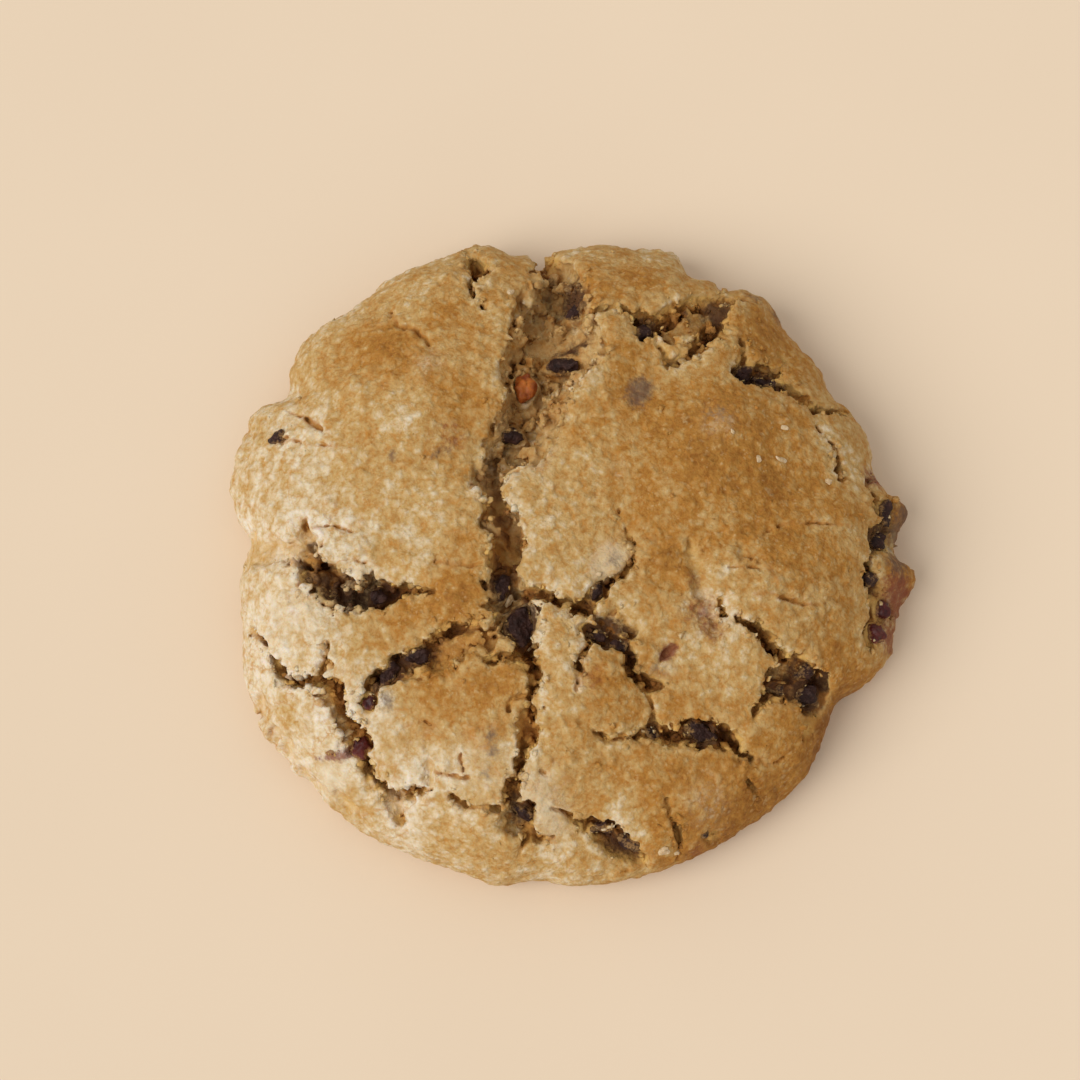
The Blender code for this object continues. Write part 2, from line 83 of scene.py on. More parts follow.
# The cracks that part the crust into plates: (depth, lean, route), a route being (x, y, half width) points.
# A crack leans when one bank is steep and the other a slope: 1 is steepest on the left of its route.
CRACKS = (
    # The widest, from the far rim to the middle.
    (5.6, -0.7, (
        (-4.4, 47.0, 1.2), (-4.6, 44.5, 1.6), (-2.6, 41.0, 3.0), (-1.9, 36.0, 3.7), (-2.5, 33.0, 4.9),
        (-2.4, 31.0, 5.7), (-2.4, 28.5, 6.2), (-2.9, 26.8, 5.9), (-3.6, 25.0, 5.4), (-4.6, 22.8, 4.8),
        (-5.2, 20.0, 4.3), (-5.8, 18.0, 4.0), (-6.7, 15.4, 3.9), (-7.8, 13.4, 3.6), (-9.6, 11.4, 2.8))),
    (5.2, 0.7, (
        (-9.6, 11.4, 2.8), (-10.7, 9.6, 2.4), (-11.3, 7.4, 2.3), (-11.0, 4.2, 1.9), (-9.9, 2.0, 2.4),
        (-8.9, 0.4, 2.0), (-9.0, -1.2, 1.8), (-9.7, -2.8, 1.9), (-9.6, -4.6, 2.1), (-9.5, -7.2, 2.6),
        (-8.2, -9.8, 2.8), (-7.2, -12.5, 2.6), (-6.6, -15.5, 1.6), (-6.3, -17.5, 1.1))),
    # The middle.
    (4.0, 0.4, (
        (-6.5, -8.2, 1.5), (-4.8, -8.2, 0.9), (-2.5, -8.8, 1.0), (-0.5, -9.6, 1.1), (1.6, -10.2, 1.3),
        (3.0, -8.6, 1.1), (3.4, -7.0, 0.9), (4.8, -6.4, 0.9), (6.4, -5.6, 0.6), (7.4, -4.0, 0.5),
        (8.1, -2.2, 0.55), (7.6, -0.6, 0.45), (6.9, 1.6, 0.4), (6.3, 3.2, 0.35))),
    (4.5, 0.3, (
        (1.0, -12.9, 0.7), (2.2, -13.5, 1.3), (4.4, -14.4, 1.3), (6.4, -15.2, 1.5), (7.4, -16.6, 1.1),
        (7.3, -18.2, 0.9), (8.0, -19.4, 1.0), (9.3, -20.6, 1.0), (11.4, -21.2, 0.6))),
    (1.6, 0, ((3.2, -12.0, 1.0), (5.6, -12.4, 1.5), (8.0, -13.6, 0.9))),
    (2.4, 0, ((1.8, -15.7, 0.5), (0.5, -17.4, 0.5), (0.4, -19.5, 0.4), (0.3, -21.4, 0.3))),
    # Far left.
    (4.0, -0.3, (
        (-14.3, 43.2, 1.0), (-13.6, 41.6, 1.3), (-13.2, 40.2, 1.3), (-14.0, 38.2, 0.7),
        (-14.2, 37.3, 0.6), (-13.6, 35.3, 0.6), (-12.9, 34.2, 0.5), (-12.2, 33.4, 0.4))),
    # Far right.
    (5.0, 0.6, (
        (1.8, 33.4, 0.8), (4.4, 33.1, 0.6), (7.4, 32.9, 0.6), (9.2, 31.6, 1.3), (10.4, 30.9, 1.9),
        (12.0, 32.0, 1.3), (13.6, 32.9, 1.2), (15.2, 34.0, 1.0), (17.2, 35.3, 0.9), (19.5, 35.6, 0.8),
        (22.0, 36.0, 0.9), (24.2, 36.2, 0.7))),
    (3.0, 0, (
        (10.9, 29.6, 0.6), (12.0, 28.0, 0.35), (12.7, 27.0, 0.35), (13.4, 25.4, 0.35), (12.8, 24.0, 0.2))),
    (3.5, -0.3, (
        (13.4, 25.4, 0.4), (15.0, 25.2, 0.7), (16.3, 26.0, 0.7), (17.4, 27.2, 0.6), (19.4, 27.8, 0.4))),
    (4.0, 0, (
        (16.6, 27.4, 0.6), (18.6, 29.4, 1.0), (19.8, 30.8, 1.6), (20.6, 33.0, 0.9), (22.0, 35.0, 0.8))),
    (2.0, 0, ((13.5, 30.0, 1.4), (17.0, 32.0, 1.6), (19.6, 33.6, 1.6))),
    (5.5, -0.6, (
        (23.4, 29.6, 0.5), (23.7, 27.6, 0.7), (24.0, 26.0, 1.0), (24.4, 24.8, 1.6), (26.4, 24.6, 1.6),
        (28.6, 24.2, 1.5), (30.4, 23.2, 1.1), (31.8, 22.4, 0.9), (33.0, 21.0, 0.9), (34.6, 19.9, 0.8),
        (36.4, 20.2, 0.7), (38.2, 20.8, 0.6))),
    (2.2, 0, (
        (34.4, 17.4, 0.4), (34.8, 16.7, 0.45), (36.2, 14.6, 0.45), (36.7, 12.8, 0.5), (36.9, 11.0, 0.6),
        (37.2, 9.4, 0.3), (39.0, 9.7, 0.3))),
    # The right edge.
    (4.0, -0.3, (
        (41.0, 9.5, 0.4), (42.6, 7.4, 0.7), (44.3, 6.2, 1.4), (44.4, 4.4, 1.2), (43.2, 3.0, 1.0),
        (43.4, 1.6, 1.4), (42.6, 0.0, 0.9), (41.4, -1.4, 0.5), (41.2, -3.4, 0.9), (41.8, -4.8, 1.1),
        (42.6, -6.6, 1.3), (43.4, -8.2, 1.5), (42.4, -10.4, 1.6), (41.8, -12.2, 1.4), (41.4, -13.8, 0.7))),
    # The left edge, and on round the near left.
    (1.8, 0, ((-37.0, 2.6, 0.6), (-36.8, 0.2, 1.2), (-36.4, -2.2, 1.5))),
    (6.0, -0.4, (
        (-36.6, -1.8, 1.4), (-36.0, -3.6, 2.0),
        (-34.0, -6.2, 2.4), (-31.5, -7.2, 2.6), (-28.8, -7.9, 2.5), (-26.4, -8.1, 1.8),
        (-24.0, -7.6, 1.0), (-21.5, -7.4, 0.7), (-19.4, -7.6, 0.4), (-17.6, -8.2, 0.25))),
    (1.5, 0, ((-37.6, -1.6, 1.4), (-40.5, -0.6, 1.8), (-43.6, -0.4, 1.8), (-46.5, -0.6, 1.4))),
    (5.0, 0.7, (
        (-44.9, -10.8, 0.5), (-43.6, -12.6, 0.6), (-41.6, -15.4, 0.7), (-40.6, -17.6, 1.0),
        (-39.4, -18.8, 1.0), (-37.0, -18.9, 0.9), (-34.9, -19.2, 0.9), (-33.6, -20.2, 1.0),
        (-32.2, -22.2, 1.3), (-31.0, -24.4, 1.4), (-30.0, -27.0, 1.6), (-29.2, -29.6, 1.5),
        (-28.0, -31.8, 0.9), (-26.8, -33.4, 0.8))),
    (2.2, 0.3, (
        (-26.8, -33.4, 0.8), (-25.2, -35.0, 1.1), (-24.2, -36.4, 1.2), (-23.8, -37.8, 0.9))),
    (3.0, 0, ((-33.4, -14.6, 0.5), (-34.2, -16.6, 0.7), (-34.4, -18.6, 0.7))),
    (3.0, 0, ((-24.4, -34.9, 0.8), (-21.8, -34.4, 0.6), (-19.0, -34.4, 0.4))),
    # The arc left of the middle, with a ledge under it.
    (4.5, -0.8, (
        (-10.2, -10.8, 0.4), (-12.2, -11.7, 0.6), (-14.9, -12.5, 0.9), (-17.2, -13.6, 1.1),
        (-19.4, -15.2, 1.3), (-21.4, -16.5, 1.5), (-24.0, -17.8, 1.5),
        (-26.4, -19.2, 1.5), (-27.8, -20.8, 1.2), (-28.2, -22.6, 0.9), (-27.6, -24.0, 0.5))),
    (1.8, 0, ((-22.6, -18.2, 1.2), (-19.5, -17.2, 1.7), (-16.0, -15.6, 1.9), (-12.6, -14.2, 2.1))),
    (3.5, -0.3, (
        (-6.0, -18.2, 0.8), (-7.6, -17.2, 0.7), (-9.4, -16.8, 0.7), (-12.0, -17.6, 0.5),
        (-14.8, -18.7, 0.3))),
    # From the middle to the near edge.
    (3.0, 0.5, (
        (-6.3, -17.0, 1.1), (-5.4, -19.0, 0.8), (-5.1, -20.6, 0.7), (-5.8, -22.4, 0.7),
        (-5.8, -24.6, 0.8), (-6.4, -26.7, 1.2), (-6.8, -29.0, 1.1), (-7.0, -31.4, 0.9),
        (-7.8, -33.4, 0.8), (-8.6, -35.0, 1.0), (-8.4, -37.0, 1.6), (-7.2, -38.6, 1.6),
        (-5.8, -40.2, 0.9), (-4.4, -41.4, 0.6), (-3.0, -41.0, 0.4))),
    (1.2, 0, ((-6.5, -22.2, 0.4), (-8.2, -22.6, 0.35), (-8.8, -24.1, 0.4))),
    (1.0, 0, ((-4.3, -21.8, 0.3), (-3.8, -23.6, 0.3))),
    (1.0, 0, ((-5.4, -32.2, 0.4), (-3.7, -32.5, 0.3))),
    (1.5, 0, ((-6.3, -40.8, 0.5), (-7.6, -42.6, 0.4))),
    (2.0, 0, ((-16.5, -35.3, 0.4), (-14.0, -36.6, 0.5), (-9.8, -36.5, 0.6))),
    (0.9, 0, ((-19.6, -30.8, 0.6), (-19.2, -32.8, 0.7))),
    # Near right.
    (5.0, 0, (
        (2.8, -26.9, 0.4), (4.5, -27.9, 0.55), (7.0, -28.0, 0.6), (9.3, -27.3, 0.7), (10.6, -27.2, 1.0),
        (12.8, -27.5, 1.2), (15.4, -27.2, 1.3), (17.6, -27.5, 1.8), (20.2, -27.7, 1.6),
        (21.8, -28.4, 1.0), (23.2, -29.4, 0.8), (24.6, -30.0, 0.4))),
    (3.0, 0, ((10.3, -22.6, 0.3), (10.6, -24.4, 0.4), (10.1, -26.2, 0.5))),
    (5.0, 0.6, (
        (19.6, -9.3, 0.4), (20.2, -11.2, 0.5), (22.5, -11.8, 0.6), (24.6, -12.9, 0.85),
        (26.0, -14.6, 0.9), (27.6, -16.0, 1.0), (30.0, -16.8, 1.1), (32.4, -17.8, 1.6),
        (33.8, -19.4, 2.1), (32.8, -20.8, 2.3), (30.4, -20.6, 1.9), (28.4, -20.4, 1.4),
        (27.0, -21.2, 0.9), (25.6, -22.4, 0.6), (24.4, -23.8, 0.4))),
    (2.6, 0, ((28.2, -18.4, 1.4), (30.6, -19.0, 1.9))),
    (1.5, 0, ((32.3, -23.2, 0.9), (31.6, -26.6, 0.4))),
    (4.5, 0.5, (
        (-3.4, -36.7, 0.3), (-1.2, -37.7, 0.4), (0.6, -38.9, 0.5), (2.4, -39.9, 0.8),
        (4.0, -40.8, 1.2), (5.8, -41.8, 1.3), (7.6, -42.6, 1.1), (9.4, -42.9, 0.6), (10.8, -42.4, 0.3))),
    (1.6, 0, ((18.4, -40.6, 0.35), (19.4, -39.6, 0.55), (20.4, -40.4, 0.35))),
    (2.5, 0, (
        (12.2, -34.6, 0.3), (12.8, -36.4, 0.4), (13.4, -38.0, 0.5), (14.2, -39.3, 0.8),
        (14.3, -41.4, 0.6), (14.1, -42.8, 0.3))),
    (2.0, 0, ((23.4, -31.8, 0.3), (24.0, -33.3, 0.6), (25.4, -34.1, 0.4))),
    # The rosy slit and groove, and the fold beside them.
    (1.3, 0, ((11.5, -17.2, 0.25), (12.5, -16.1, 0.5), (13.9, -15.2, 0.25))),
    (0.8, 0, ((15.8, -1.2, 0.3), (16.6, -5.4, 0.6), (17.6, -9.6, 0.8), (19.2, -12.6, 0.5))),
    (0.9, 0, ((20.8, -2.6, 0.25), (22.8, -2.9, 0.45), (24.4, -3.4, 0.25))),
    # Long shallow pits in the side.
    (1.0, 0, ((-43.5, -20.4, 0.45), (-43.1, -22.4, 0.5))),
    (1.0, 0, ((-41.6, -24.6, 0.4), (-41.0, -26.0, 0.5))),
    (0.9, 0, ((-39.9, -27.2, 0.5), (-39.3, -28.6, 0.5))),
    (0.9, 0, ((-37.8, -30.6, 0.4), (-36.2, -32.2, 0.5), (-34.6, -33.2, 0.4))),
    (1.0, 0, ((-33.0, -33.6, 0.4), (-31.4, -35.4, 0.5), (-29.6, -36.4, 0.4))),
    (1.0, 0, ((-27.8, -30.8, 0.4), (-27.4, -33.4, 0.6))),
    (1.0, 0, ((-44.6, 3.6, 0.4), (-45.2, 1.2, 0.5))),
    (1.0, 0, ((29.4, 28.3, 0.35), (30.3, 27.6, 0.4))),
)

# Hairline cracks in the crust: routes of (x, y). They are widest in the middle of their length.
HAIRLINES = (
    ((-40.0, 19.6), (-37.6, 18.2), (-35.2, 16.2)),
    ((-40.2, 15.2), (-37.8, 14.7)),
    ((-35.0, 14.2), (-32.6, 13.2)),
    ((-25.4, 34.4), (-24.8, 31.5), (-22.4, 30.4), (-20.4, 29.1), (-20.0, 27.4)),
    ((-35.3, 1.5), (-32.6, 1.7), (-29.9, 0.5)),
    ((-31.0, -3.1), (-28.3, -3.4)),
    ((-18.9, -3.8), (-17.3, -4.4), (-14.6, -4.7), (-12.4, -4.4)),
    ((-19.4, -31.6), (-16.6, -32.2), (-14.0, -32.8)),
    ((-15.6, -29.6), (-15.0, -32.0)),
    ((-23.0, -25.8), (-20.6, -25.2), (-18.6, -26.2)),
    ((2.4, 6.0), (3.2, 4.6)),
    ((9.1, -0.5), (11.0, -0.9)),
    ((20.4, -4.6), (23.9, -4.6), (26.3, -5.1), (27.3, -6.4)),
    ((24.4, -3.5), (25.9, -4.3), (27.3, -6.0)),
    ((23.9, -8.6), (27.0, -8.0), (29.0, -8.3), (30.7, -9.3), (33.8, -9.0)),
    ((25.5, 0.0), (27.4, 1.1), (30.2, 2.0), (33.4, 2.6), (36.1, 2.3), (38.1, 1.8)),
    ((24.6, -29.3), (26.3, -30.6), (28.7, -29.0)),
    ((27.7, -32.0), (28.7, -33.4)),
)

# Browned places in the crust, and places darkened as painted shade where the near right rim and some folds
# face away from the light: (x, y, radius, amount). Less than nothing is a paler place.
BROWNED_AND_SHADED = (
    (-18.0, 27.0, 17.0, 0.12), (-28.5, 27.5, 4.0, 0.16),
    (-19.0, 21.0, 6.0, 0.10), (22.0, 12.0, 14.0, 0.32), (27.0, 2.6, 5.0, 0.10),
    (8.0, 8.0, 12.0, 0.12), (6.0, -8.0, 8.0, 0.06),
    (8.0, 40.0, 12.0, 0.18), (-10.0, 40.0, 8.0, 0.08), (35.0, -5.0, 14.0, 0.14), (-38.0, 2.0, 12.0, -0.18),
    (-36.0, -22.0, 14.0, -0.22), (-29.0, -33.5, 4.0, 0.08), (-15.0, -41.0, 5.0, 0.10),
    (-4.0, -41.0, 7.0, 0.06), (30.0, -34.0, 16.0, 0.23), (23.0, -30.0, 6.0, 0.08),
    (-22.0, -18.5, 5.0, 0.10), (-15.0, -34.0, 4.0, 0.08),
    (18.0, -35.0, 3.5, -0.10),
    (8.0, -32.0, 13.0, 0.11), (-15.0, -12.0, 3.0, 0.10), (-29.0, -19.5, 4.0, 0.10),
    (-12.0, -21.5, 7.0, 0.24), (-21.0, -25.0, 4.0, 0.15), (5.0, -19.0, 4.0, 0.12),
    (-19.0, -20.5, 5.0, 0.14), (-20.0, -35.0, 7.0, -0.12), (11.0, -19.0, 6.0, 0.12),
    (47.0, 6.0, 3.5, 0.45), (46.6, -3.0, 4.0, 0.35),
    (-26.0, -12.4, 4.0, 0.20), (36.0, 30.0, 10.0, 0.16), (40.0, -24.0, 8.0, 0.45), (24.0, -10.0, 7.0, -0.08),
    (14.0, -33.0, 7.0, 0.04), (-19.5, -17.4, 2.6, 0.28), (-14.0, -15.2, 2.6, 0.18), (26.0, -5.0, 5.0, 0.15),
    (-37.4, -1.0, 2.2, 0.12),
    (-30.0, 12.0, 8.0, 0.04), (20.0, -44.0, 9.0, 0.25), (26.0, 32.0, 7.0, 0.20), (-22.0, 16.5, 5.0, -0.20),
    (-19.0, 9.0, 5.0, 0.12), (-15.0, 17.5, 3.0, 0.12), (-22.0, -10.2, 4.5, 0.28), (-15.5, -9.0, 4.0, 0.30),
    (-14.0, -2.0, 6.0, 0.14), (-29.0, -10.5, 4.0, 0.10), (-8.0, -19.5, 3.0, 0.16), (13.0, -4.6, 4.0, 0.30),
    (7.4, 25.0, 3.6, 0.26), (27.0, 17.0, 4.0, -0.12), (6.0, -31.0, 9.0, 0.07), (20.0, -20.0, 5.0, -0.14),
    (40.0, -34.0, 9.0, 0.45), (44.0, -24.0, 7.0, 0.30), (28.0, -44.0, 8.0, 0.40), (6.0, -38.4, 3.4, -0.26),
    (-30.0, -32.0, 5.0, 0.04), (-22.0, 31.0, 6.0, 0.10), (20.0, 2.0, 5.0, -0.12),
    (-40.0, -24.0, 4.0, 0.12), (46.0, 20.0, 5.0, 0.20), (40.0, 30.0, 5.0, 0.20),
)

# Stains over buried chips: (x, y, radius, amount), grey purple, then rosy, then floury and pale.
GREY_STAINS = (
    (8.8, 19.8, 1.5, 1.5), (9.6, 21.6, 1.5, 1.0), (19.4, 17.4, 2.2, 0.35), (-11.2, -27.4, 1.0, 0.9),
    (-11.0, -29.6, 0.9, 0.7), (-25.3, -22.6, 1.3, 0.9), (17.2, -37.0, 1.4, 0.25), (-24.7, 11.2, 0.7, 0.9),
    (-19.0, 11.3, 0.8, 0.8), (-17.3, 12.0, 0.7, 0.7), (11.2, -18.6, 1.2, 0.4), (5.4, -3.6, 1.2, 0.6),
    (20.4, -37.6, 1.0, 0.3), (-12.0, -32.5, 1.0, 0.4), (47.4, 6.0, 2.0, 1.2), (46.4, 2.6, 2.0, 1.2),
    (45.4, -1.4, 1.8, 1.0), (29.6, 35.4, 1.6, 0.7), (25.8, 37.0, 1.6, 0.7),
)
ROSY_STAINS = (
    (17.2, -10.5, 2.6, 0.6), (-17.0, 14.0, 2.6, 0.4), (1.8, -19.5, 2.2, 0.4), (12.9, -15.9, 0.9, 1.0),
    (12.1, -16.8, 0.8, 1.4), (13.4, -15.6, 0.6, 1.4), (16.2, -6.0, 1.2, 0.4), (19.0, -13.4, 1.6, 0.4),
    (-35.2, -29.0, 0.3, 1.2), (-34.4, -29.1, 0.35, 1.6), (-33.4, -29.2, 0.4, 1.8), (-32.4, -29.2, 0.45, 2.0),
    (-31.4, -29.0, 0.55, 2.2), (-30.4, -28.8, 0.6, 2.4), (17.0, -41.4, 1.4, 0.5),
    (45.8, -4.6, 2.0, 1.2), (46.4, -7.4, 2.2, 1.4), (44.6, -11.6, 2.0, 1.1), (42.4, 11.0, 1.6, 1.0),
)
FLOURY_STAINS = (
    (5.2, -3.2, 1.9, 1.4), (3.4, -5.2, 1.5, 1.2), (12.4, -18.2, 1.6, 0.5), (-33.0, -31.8, 2.6, 1.0),
    (19.8, 15.6, 2.4, 0.4), (-38.0, -10.0, 4.5, 0.5), (18.0, -35.4, 3.4, 0.35), (-2.6, -38.6, 2.6, 0.8),
    (-4.2, 12.8, 2.0, 0.6), (-22.0, -29.0, 5.0, 0.25), (-12.0, -31.5, 5.0, 0.4), (-4.0, -33.5, 3.0, 0.4),
    (-5.0, 9.6, 1.8, 0.5), (-25.0, -24.0, 1.4, 0.5), (-5.0, -35.6, 2.2, 0.5), (-20.0, 24.6, 2.4, 0.35),
    (6.0, 9.0, 1.8, 0.25), (0.6, -13.0, 1.6, 0.3),
)

# Crumb darkened in the cracks, partly by chocolate and partly as painted shade where a crack lies in shadow:
# (x, y, radius, amount).
CHOCOLATE_AND_SHADE_SPOTS = (
    (-34.2, -5.2, 2.2, 0.4), (-31.0, -7.4, 3.0, 0.7), (-27.0, -8.2, 2.6, 0.65), (-23.4, -7.9, 1.6, 0.5),
    (10.4, 30.9, 2.4, 0.9), (25.2, 25.1, 2.6, 1.0), (28.6, 24.2, 2.4, 0.9), (21.6, 35.4, 2.4, 0.9),
    (16.0, 34.4, 1.8, 0.7), (16.0, 27.0, 2.0, 0.6), (13.4, 25.6, 1.2, 0.6), (19.8, 30.2, 2.2, 0.5),
    (0.9, 37.0, 1.7, 1.0), (-2.4, 36.4, 1.6, 0.4), (0.2, 39.6, 2.6, 0.8), (-2.6, 29.2, 1.2, 0.7),
    (-0.4, 29.6, 1.3, 0.9), (1.8, 29.8, 1.2, 0.7), (-6.6, 21.0, 1.4, 0.4), (-7.6, 3.4, 0.9, 0.4),
    (-10.2, 17.3, 1.5, 0.2), (-11.6, 11.4, 1.2, 0.3), (-7.4, 1.4, 0.9, 0.4), (-7.7, -0.8, 0.9, 0.4),
    (-10.2, -6.5, 2.0, 0.6), (-6.7, -11.5, 2.6, 0.7),
    (-3.0, -7.8, 1.2, 0.7), (3.8, -13.9, 2.6, 0.9), (7.3, -15.4, 2.0, 0.9),
    (5.6, -12.5, 1.6, 0.35), (3.8, -6.4, 1.4, 0.9),
    (34.6, -19.2, 2.2, 1.3), (33.4, -21.8, 1.8, 1.0), (28.0, -16.2, 2.0, 0.3), (27.4, -21.0, 1.2, 0.4),
    (-35.0, -1.2, 1.0, 0.5), (-19.0, -17.0, 2.6, 0.1),
    (-14.0, -14.6, 2.6, 0.1), (18.6, -27.8, 2.6, 0.8), (8.2, -42.4, 1.6, 0.7),
    (5.4, -41.2, 2.2, 0.8), (-7.8, -38.4, 1.6, 0.7), (-24.6, -17.6, 2.6, 0.7), (-27.4, -21.4, 1.8, 0.7),
    (-30.4, -29.4, 1.8, 0.8), (-28.4, -31.6, 1.3, 0.5), (-15.4, -12.8, 1.6, 0.3), (-18.4, -14.4, 1.6, 0.3),
    (44.4, 3.2, 3.0, 1.0), (42.4, -4.0, 2.0, 0.8), (43.0, -9.0, 3.0, 0.6),
)

# White grains of sugar and ivory crumbs on the crust: (x, y, length, width, turn in degrees).
SUGAR_GRAINS = (
    (29.2, 16.0, 1.0, 0.6, -30), (21.8, 14.5, 0.7, 0.5, 0),
    (25.4, 11.0, 0.9, 0.7, 20), (28.6, 11.2, 1.5, 0.6, 40),
    (35.3, 8.7, 0.9, 0.8, 60), (-8.8, 36.2, 0.9, 0.7, 30),
    (-6.9, 35.0, 0.5, 0.4, 0), (12.2, -41.6, 1.5, 1.2, 10),
    (14.0, -41.8, 0.7, 0.6, 0), (-8.9, -8.3, 1.7, 1.1, -15), (-6.1, -15.0, 0.7, 0.6, 0),
)

# ---------------------------------------------------------------------------------------------------------
# How the dough, the chips and the crumbs are worked, in millimetres.

CELL = 0.27  # spacing of the points at which the dough's field is worked
MARGIN = 1.5  # room round the dough
PLAN_CELL = 0.2  # spacing of the plan's maps
PLAN_REACH = 51.0  # the maps go this far each way from the middle
SECTION_CELL = 0.2  # spacing of the section's map
ROOM = 4  # which goes this far below and above the cookie
ROOM_BESIDE = 6  # and this far past its rim
FAR = 6.0  # distances from a crack are kept up to this
WALL_DEPTH = 9.0  # no crack is deeper
OUTER_BELT = 2.5  # nothing stands farther out of the dome
SKIN = 1.6  # relief is worked this far each side of the surface
DEEPEST_SHARE = 4.0  # a crack is at most this many times as deep as its half width
MOST_TRIANGLES = 194000  # of the dough

# Cracks.
WARP = ((4.5, 0.45), (1.7, 0.30), (0.8, 0.16))  # (size, amount) of a route's straying
BITES = ((3.4, 0.55), (1.8, 0.30))  # (size, amount) of the wide bites in a lip
TEETH = ((1.9, 0.50), (0.95, 0.42))  # (size, amount) of the crumbs that stand out of it
RAGGED_TO = (0.86, 0.96)  # lips and rubble are smoother from the first to the second share of the rim
SMOOTH_LIPS = 0.8  # the share of a lip's bites that is lost there
SMOOTH_RUBBLE = 0.9  # and of the rubble
BOWL = 0.35  # an upright crack is shallower by this share at its sides
SHELF = 0.12  # the share of the depth at the side where a leaning crack begins to slope
SLOPE_ENDS = (-1.0, 0.35)  # where that slope begins and ends, on the way from side to side
BANK_ENDS = (-1.2, 0.1)  # a crack deepens from the first to the second distance inside its lip
NOTCH_BELT = (0.88, 0.99)  # shares of the rim's radius between which a crack gets shallower
NOTCH_DEPTH = 0.5  # share of a crack's depth that is left where it runs out over the rim
FOOT_BELT = (3.0, 6.0)  # heights between which a crack fades out towards the base
WALL_SLOPE = 0.24  # a crack narrows by this for each millimetre of depth
SLOPE_DEPTH = 4  # down to this depth
LIP_ROUNDING = 0.75
FOLD_ROUNDING = 1.3  # and this much more where the crack is only a fold
FOLD = (2.6, 1.8)  # a crack with this depth for its half width, or less, is partly, or only, a fold
HAIRLINE_DEPTH = 0.85
HAIRLINE_WIDTHS = (0.14, 0.27)  # half width at the ends and in the middle
LIP_DROOP = 0.5  # the crust curls down by this at a crack's lip
LIP_BELT = 1.5  # and over about this far

# The crust's and the side's relief: (size, amount, seed) of lumps, and of their slow swelling.
CRUST_LUMPS = ((2.6, 0.34, 73), (1.3, 0.30, 74))
CRUST_SWELL = (6.0, 0.35, 77)
SIDE_LUMPS = ((5.5, 0.36, 75), (2.2, 0.26, 76), (1.1, 0.16, 79))
UNEVENLY_ROUGH = (9.0, 0.35, 78)  # and of the change in how rough the crust is
LUMP_GAIN = 1.6  # brings the highest lumps to about 1
LUMP_MEAN = 0.35  # taken off the lumps, so that creases sink as well as lumps rise
SHOULDER = (8.0, 16.0)  # heights between which the side's relief gives way to the crust's
BAKED_FLAT = (0.2, 1.5)  # heights between which the flat base gives way to the side's relief
ROUGH_BELT = 5.0  # the crust is roughest this near to a crack
SMOOTHEST = 0.60  # share of that roughness that is left in the middle of a plate
LEAST_ROUGH = 0.2  # share that is left anywhere

# Chips and fruit.
BEDDED = 0.35  # share of a chip's height that lies in the crumb
LAID_BARE = 0.25  # a crack stands this far clear of the chips in it
RAGGED_BED = (1.6, 0.4)  # (size, amount) of the unevenness of that edge
BED_FADE = (0.2, 1.3)  # the bed rises to the crack's own floor between these distances from a chip
BARE_FADE = (0.9, 0.2)  # rubble is whole past the first distance from a chip and gone within the second
IN_CRACK = 1.0  # a chip lies bare where the crust is within this of a crack's lip
# The most darkening round a chip in a crack, by chocolate and as painted shade.
SMUDGE_AND_SHADE_MOST = 0.7
SMUDGE_AND_SHADE_REACH = 1.2  # the crumb is darkened, by chocolate and as painted shade, about this far from a chip
LONGEST_EDGE = 0.4  # of the chips' and the fruit's skin
CHIP_SMOOTHING, FRUIT_SMOOTHING = 3, 6  # rounds
CHIP_DENTS = ((2.2, 0.42), (1.0, 0.24))  # (size, amount)
FRUIT_DENTS = ((2.2, 0.55), (0.9, 0.20))
DENT_MEAN = 0.25  # taken off them, so that the skin moves in as well as out
DUSTY_REACH = 1.1  # crumb clings to a chip this near to the dough

# The dough's marks.
EVEN_BAKE = 0.42  # how brown the crust is where nothing else is marked
PALER_SIDE = 0.08  # and less than that on the side
TOP_BELT = (7.0, 15.0)  # heights between which the side's marks give way to the top's
CLEAR_OF_BASE = (2.0, 6.0)  # heights between which stains and torn crumb begin
VALLEY = (1.7, 2.8)  # half widths between which a crack is a valley, with paler crumb
STREWN_LIP = 0.30  # how thickly crumbs lie on the lips
STREWN_CRACK = 0.40  # in the cracks
STREWN_CRUST = 0.015  # and elsewhere on the crust
CREASE_AND_PIT_SHADE = (("crease", 0.7), ("pit", 2.2))  # painted shade in creases and pits: a mark, and how far from the skin the open air is looked for

# Crumbs and grains.
CRUMB_KINDS = 6
SMALLEST_CRUMB = 0.25
LARGEST_CRUMB = 1.25
MOSTLY_SMALL = 2.2  # the higher this power, the fewer crumbs are large
CRUMBS_EACH_SQUARE = 1.1  # for each square millimetre, where they lie thickest
CLINGING_EACH_SQUARE = 0.8  # crumbs on the chips and the fruit
CLINGING_LARGEST = 0.7
GRAIN_HEIGHT = 0.7  # of its width

# Rounded lumps that break up the cracks' banks and floors: their size, how far the plain form draws back
# and how far a lump may stand out of it, in sizes, the share of them left out, and where they begin:
# this deep under the crust, and in cracks of this half width.
RUBBLE = (
    (2.6, 0.40, 0.45, 0.30, 1.0, 1.4),
    (1.5, 0.30, 0.40, 0.25, 0.7, 0.8),
    (0.9, 0.25, 0.30, 0.15, 0.3, 0.0),
)
DEEP_ENOUGH = (1.2, 2.4)  # rubble and crumbs lie in cracks deeper than the first, most past the second
RUBBLE_FOOT = (4.5, 8.0)  # and over these heights
RUBBLE_PLACES = (0.1, 0.9)  # a lump's middle lies here in its own cell
RUBBLE_RADII = (0.45, 0.8)  # in sizes
RUBBLE_FADE = 0.12  # lumps run into each other and the plain form over this, in sizes
RUBBLE_BENDS = ((1.0, 0.20, 1), (0.45, 0.09, 4))  # (size, amount, seed) of their unevenness, in sizes
NONE_THERE = -9  # the radius of a lump that is left out


# ---------------------------------------------------------------------------------------------------------
# The cookie's plain form.


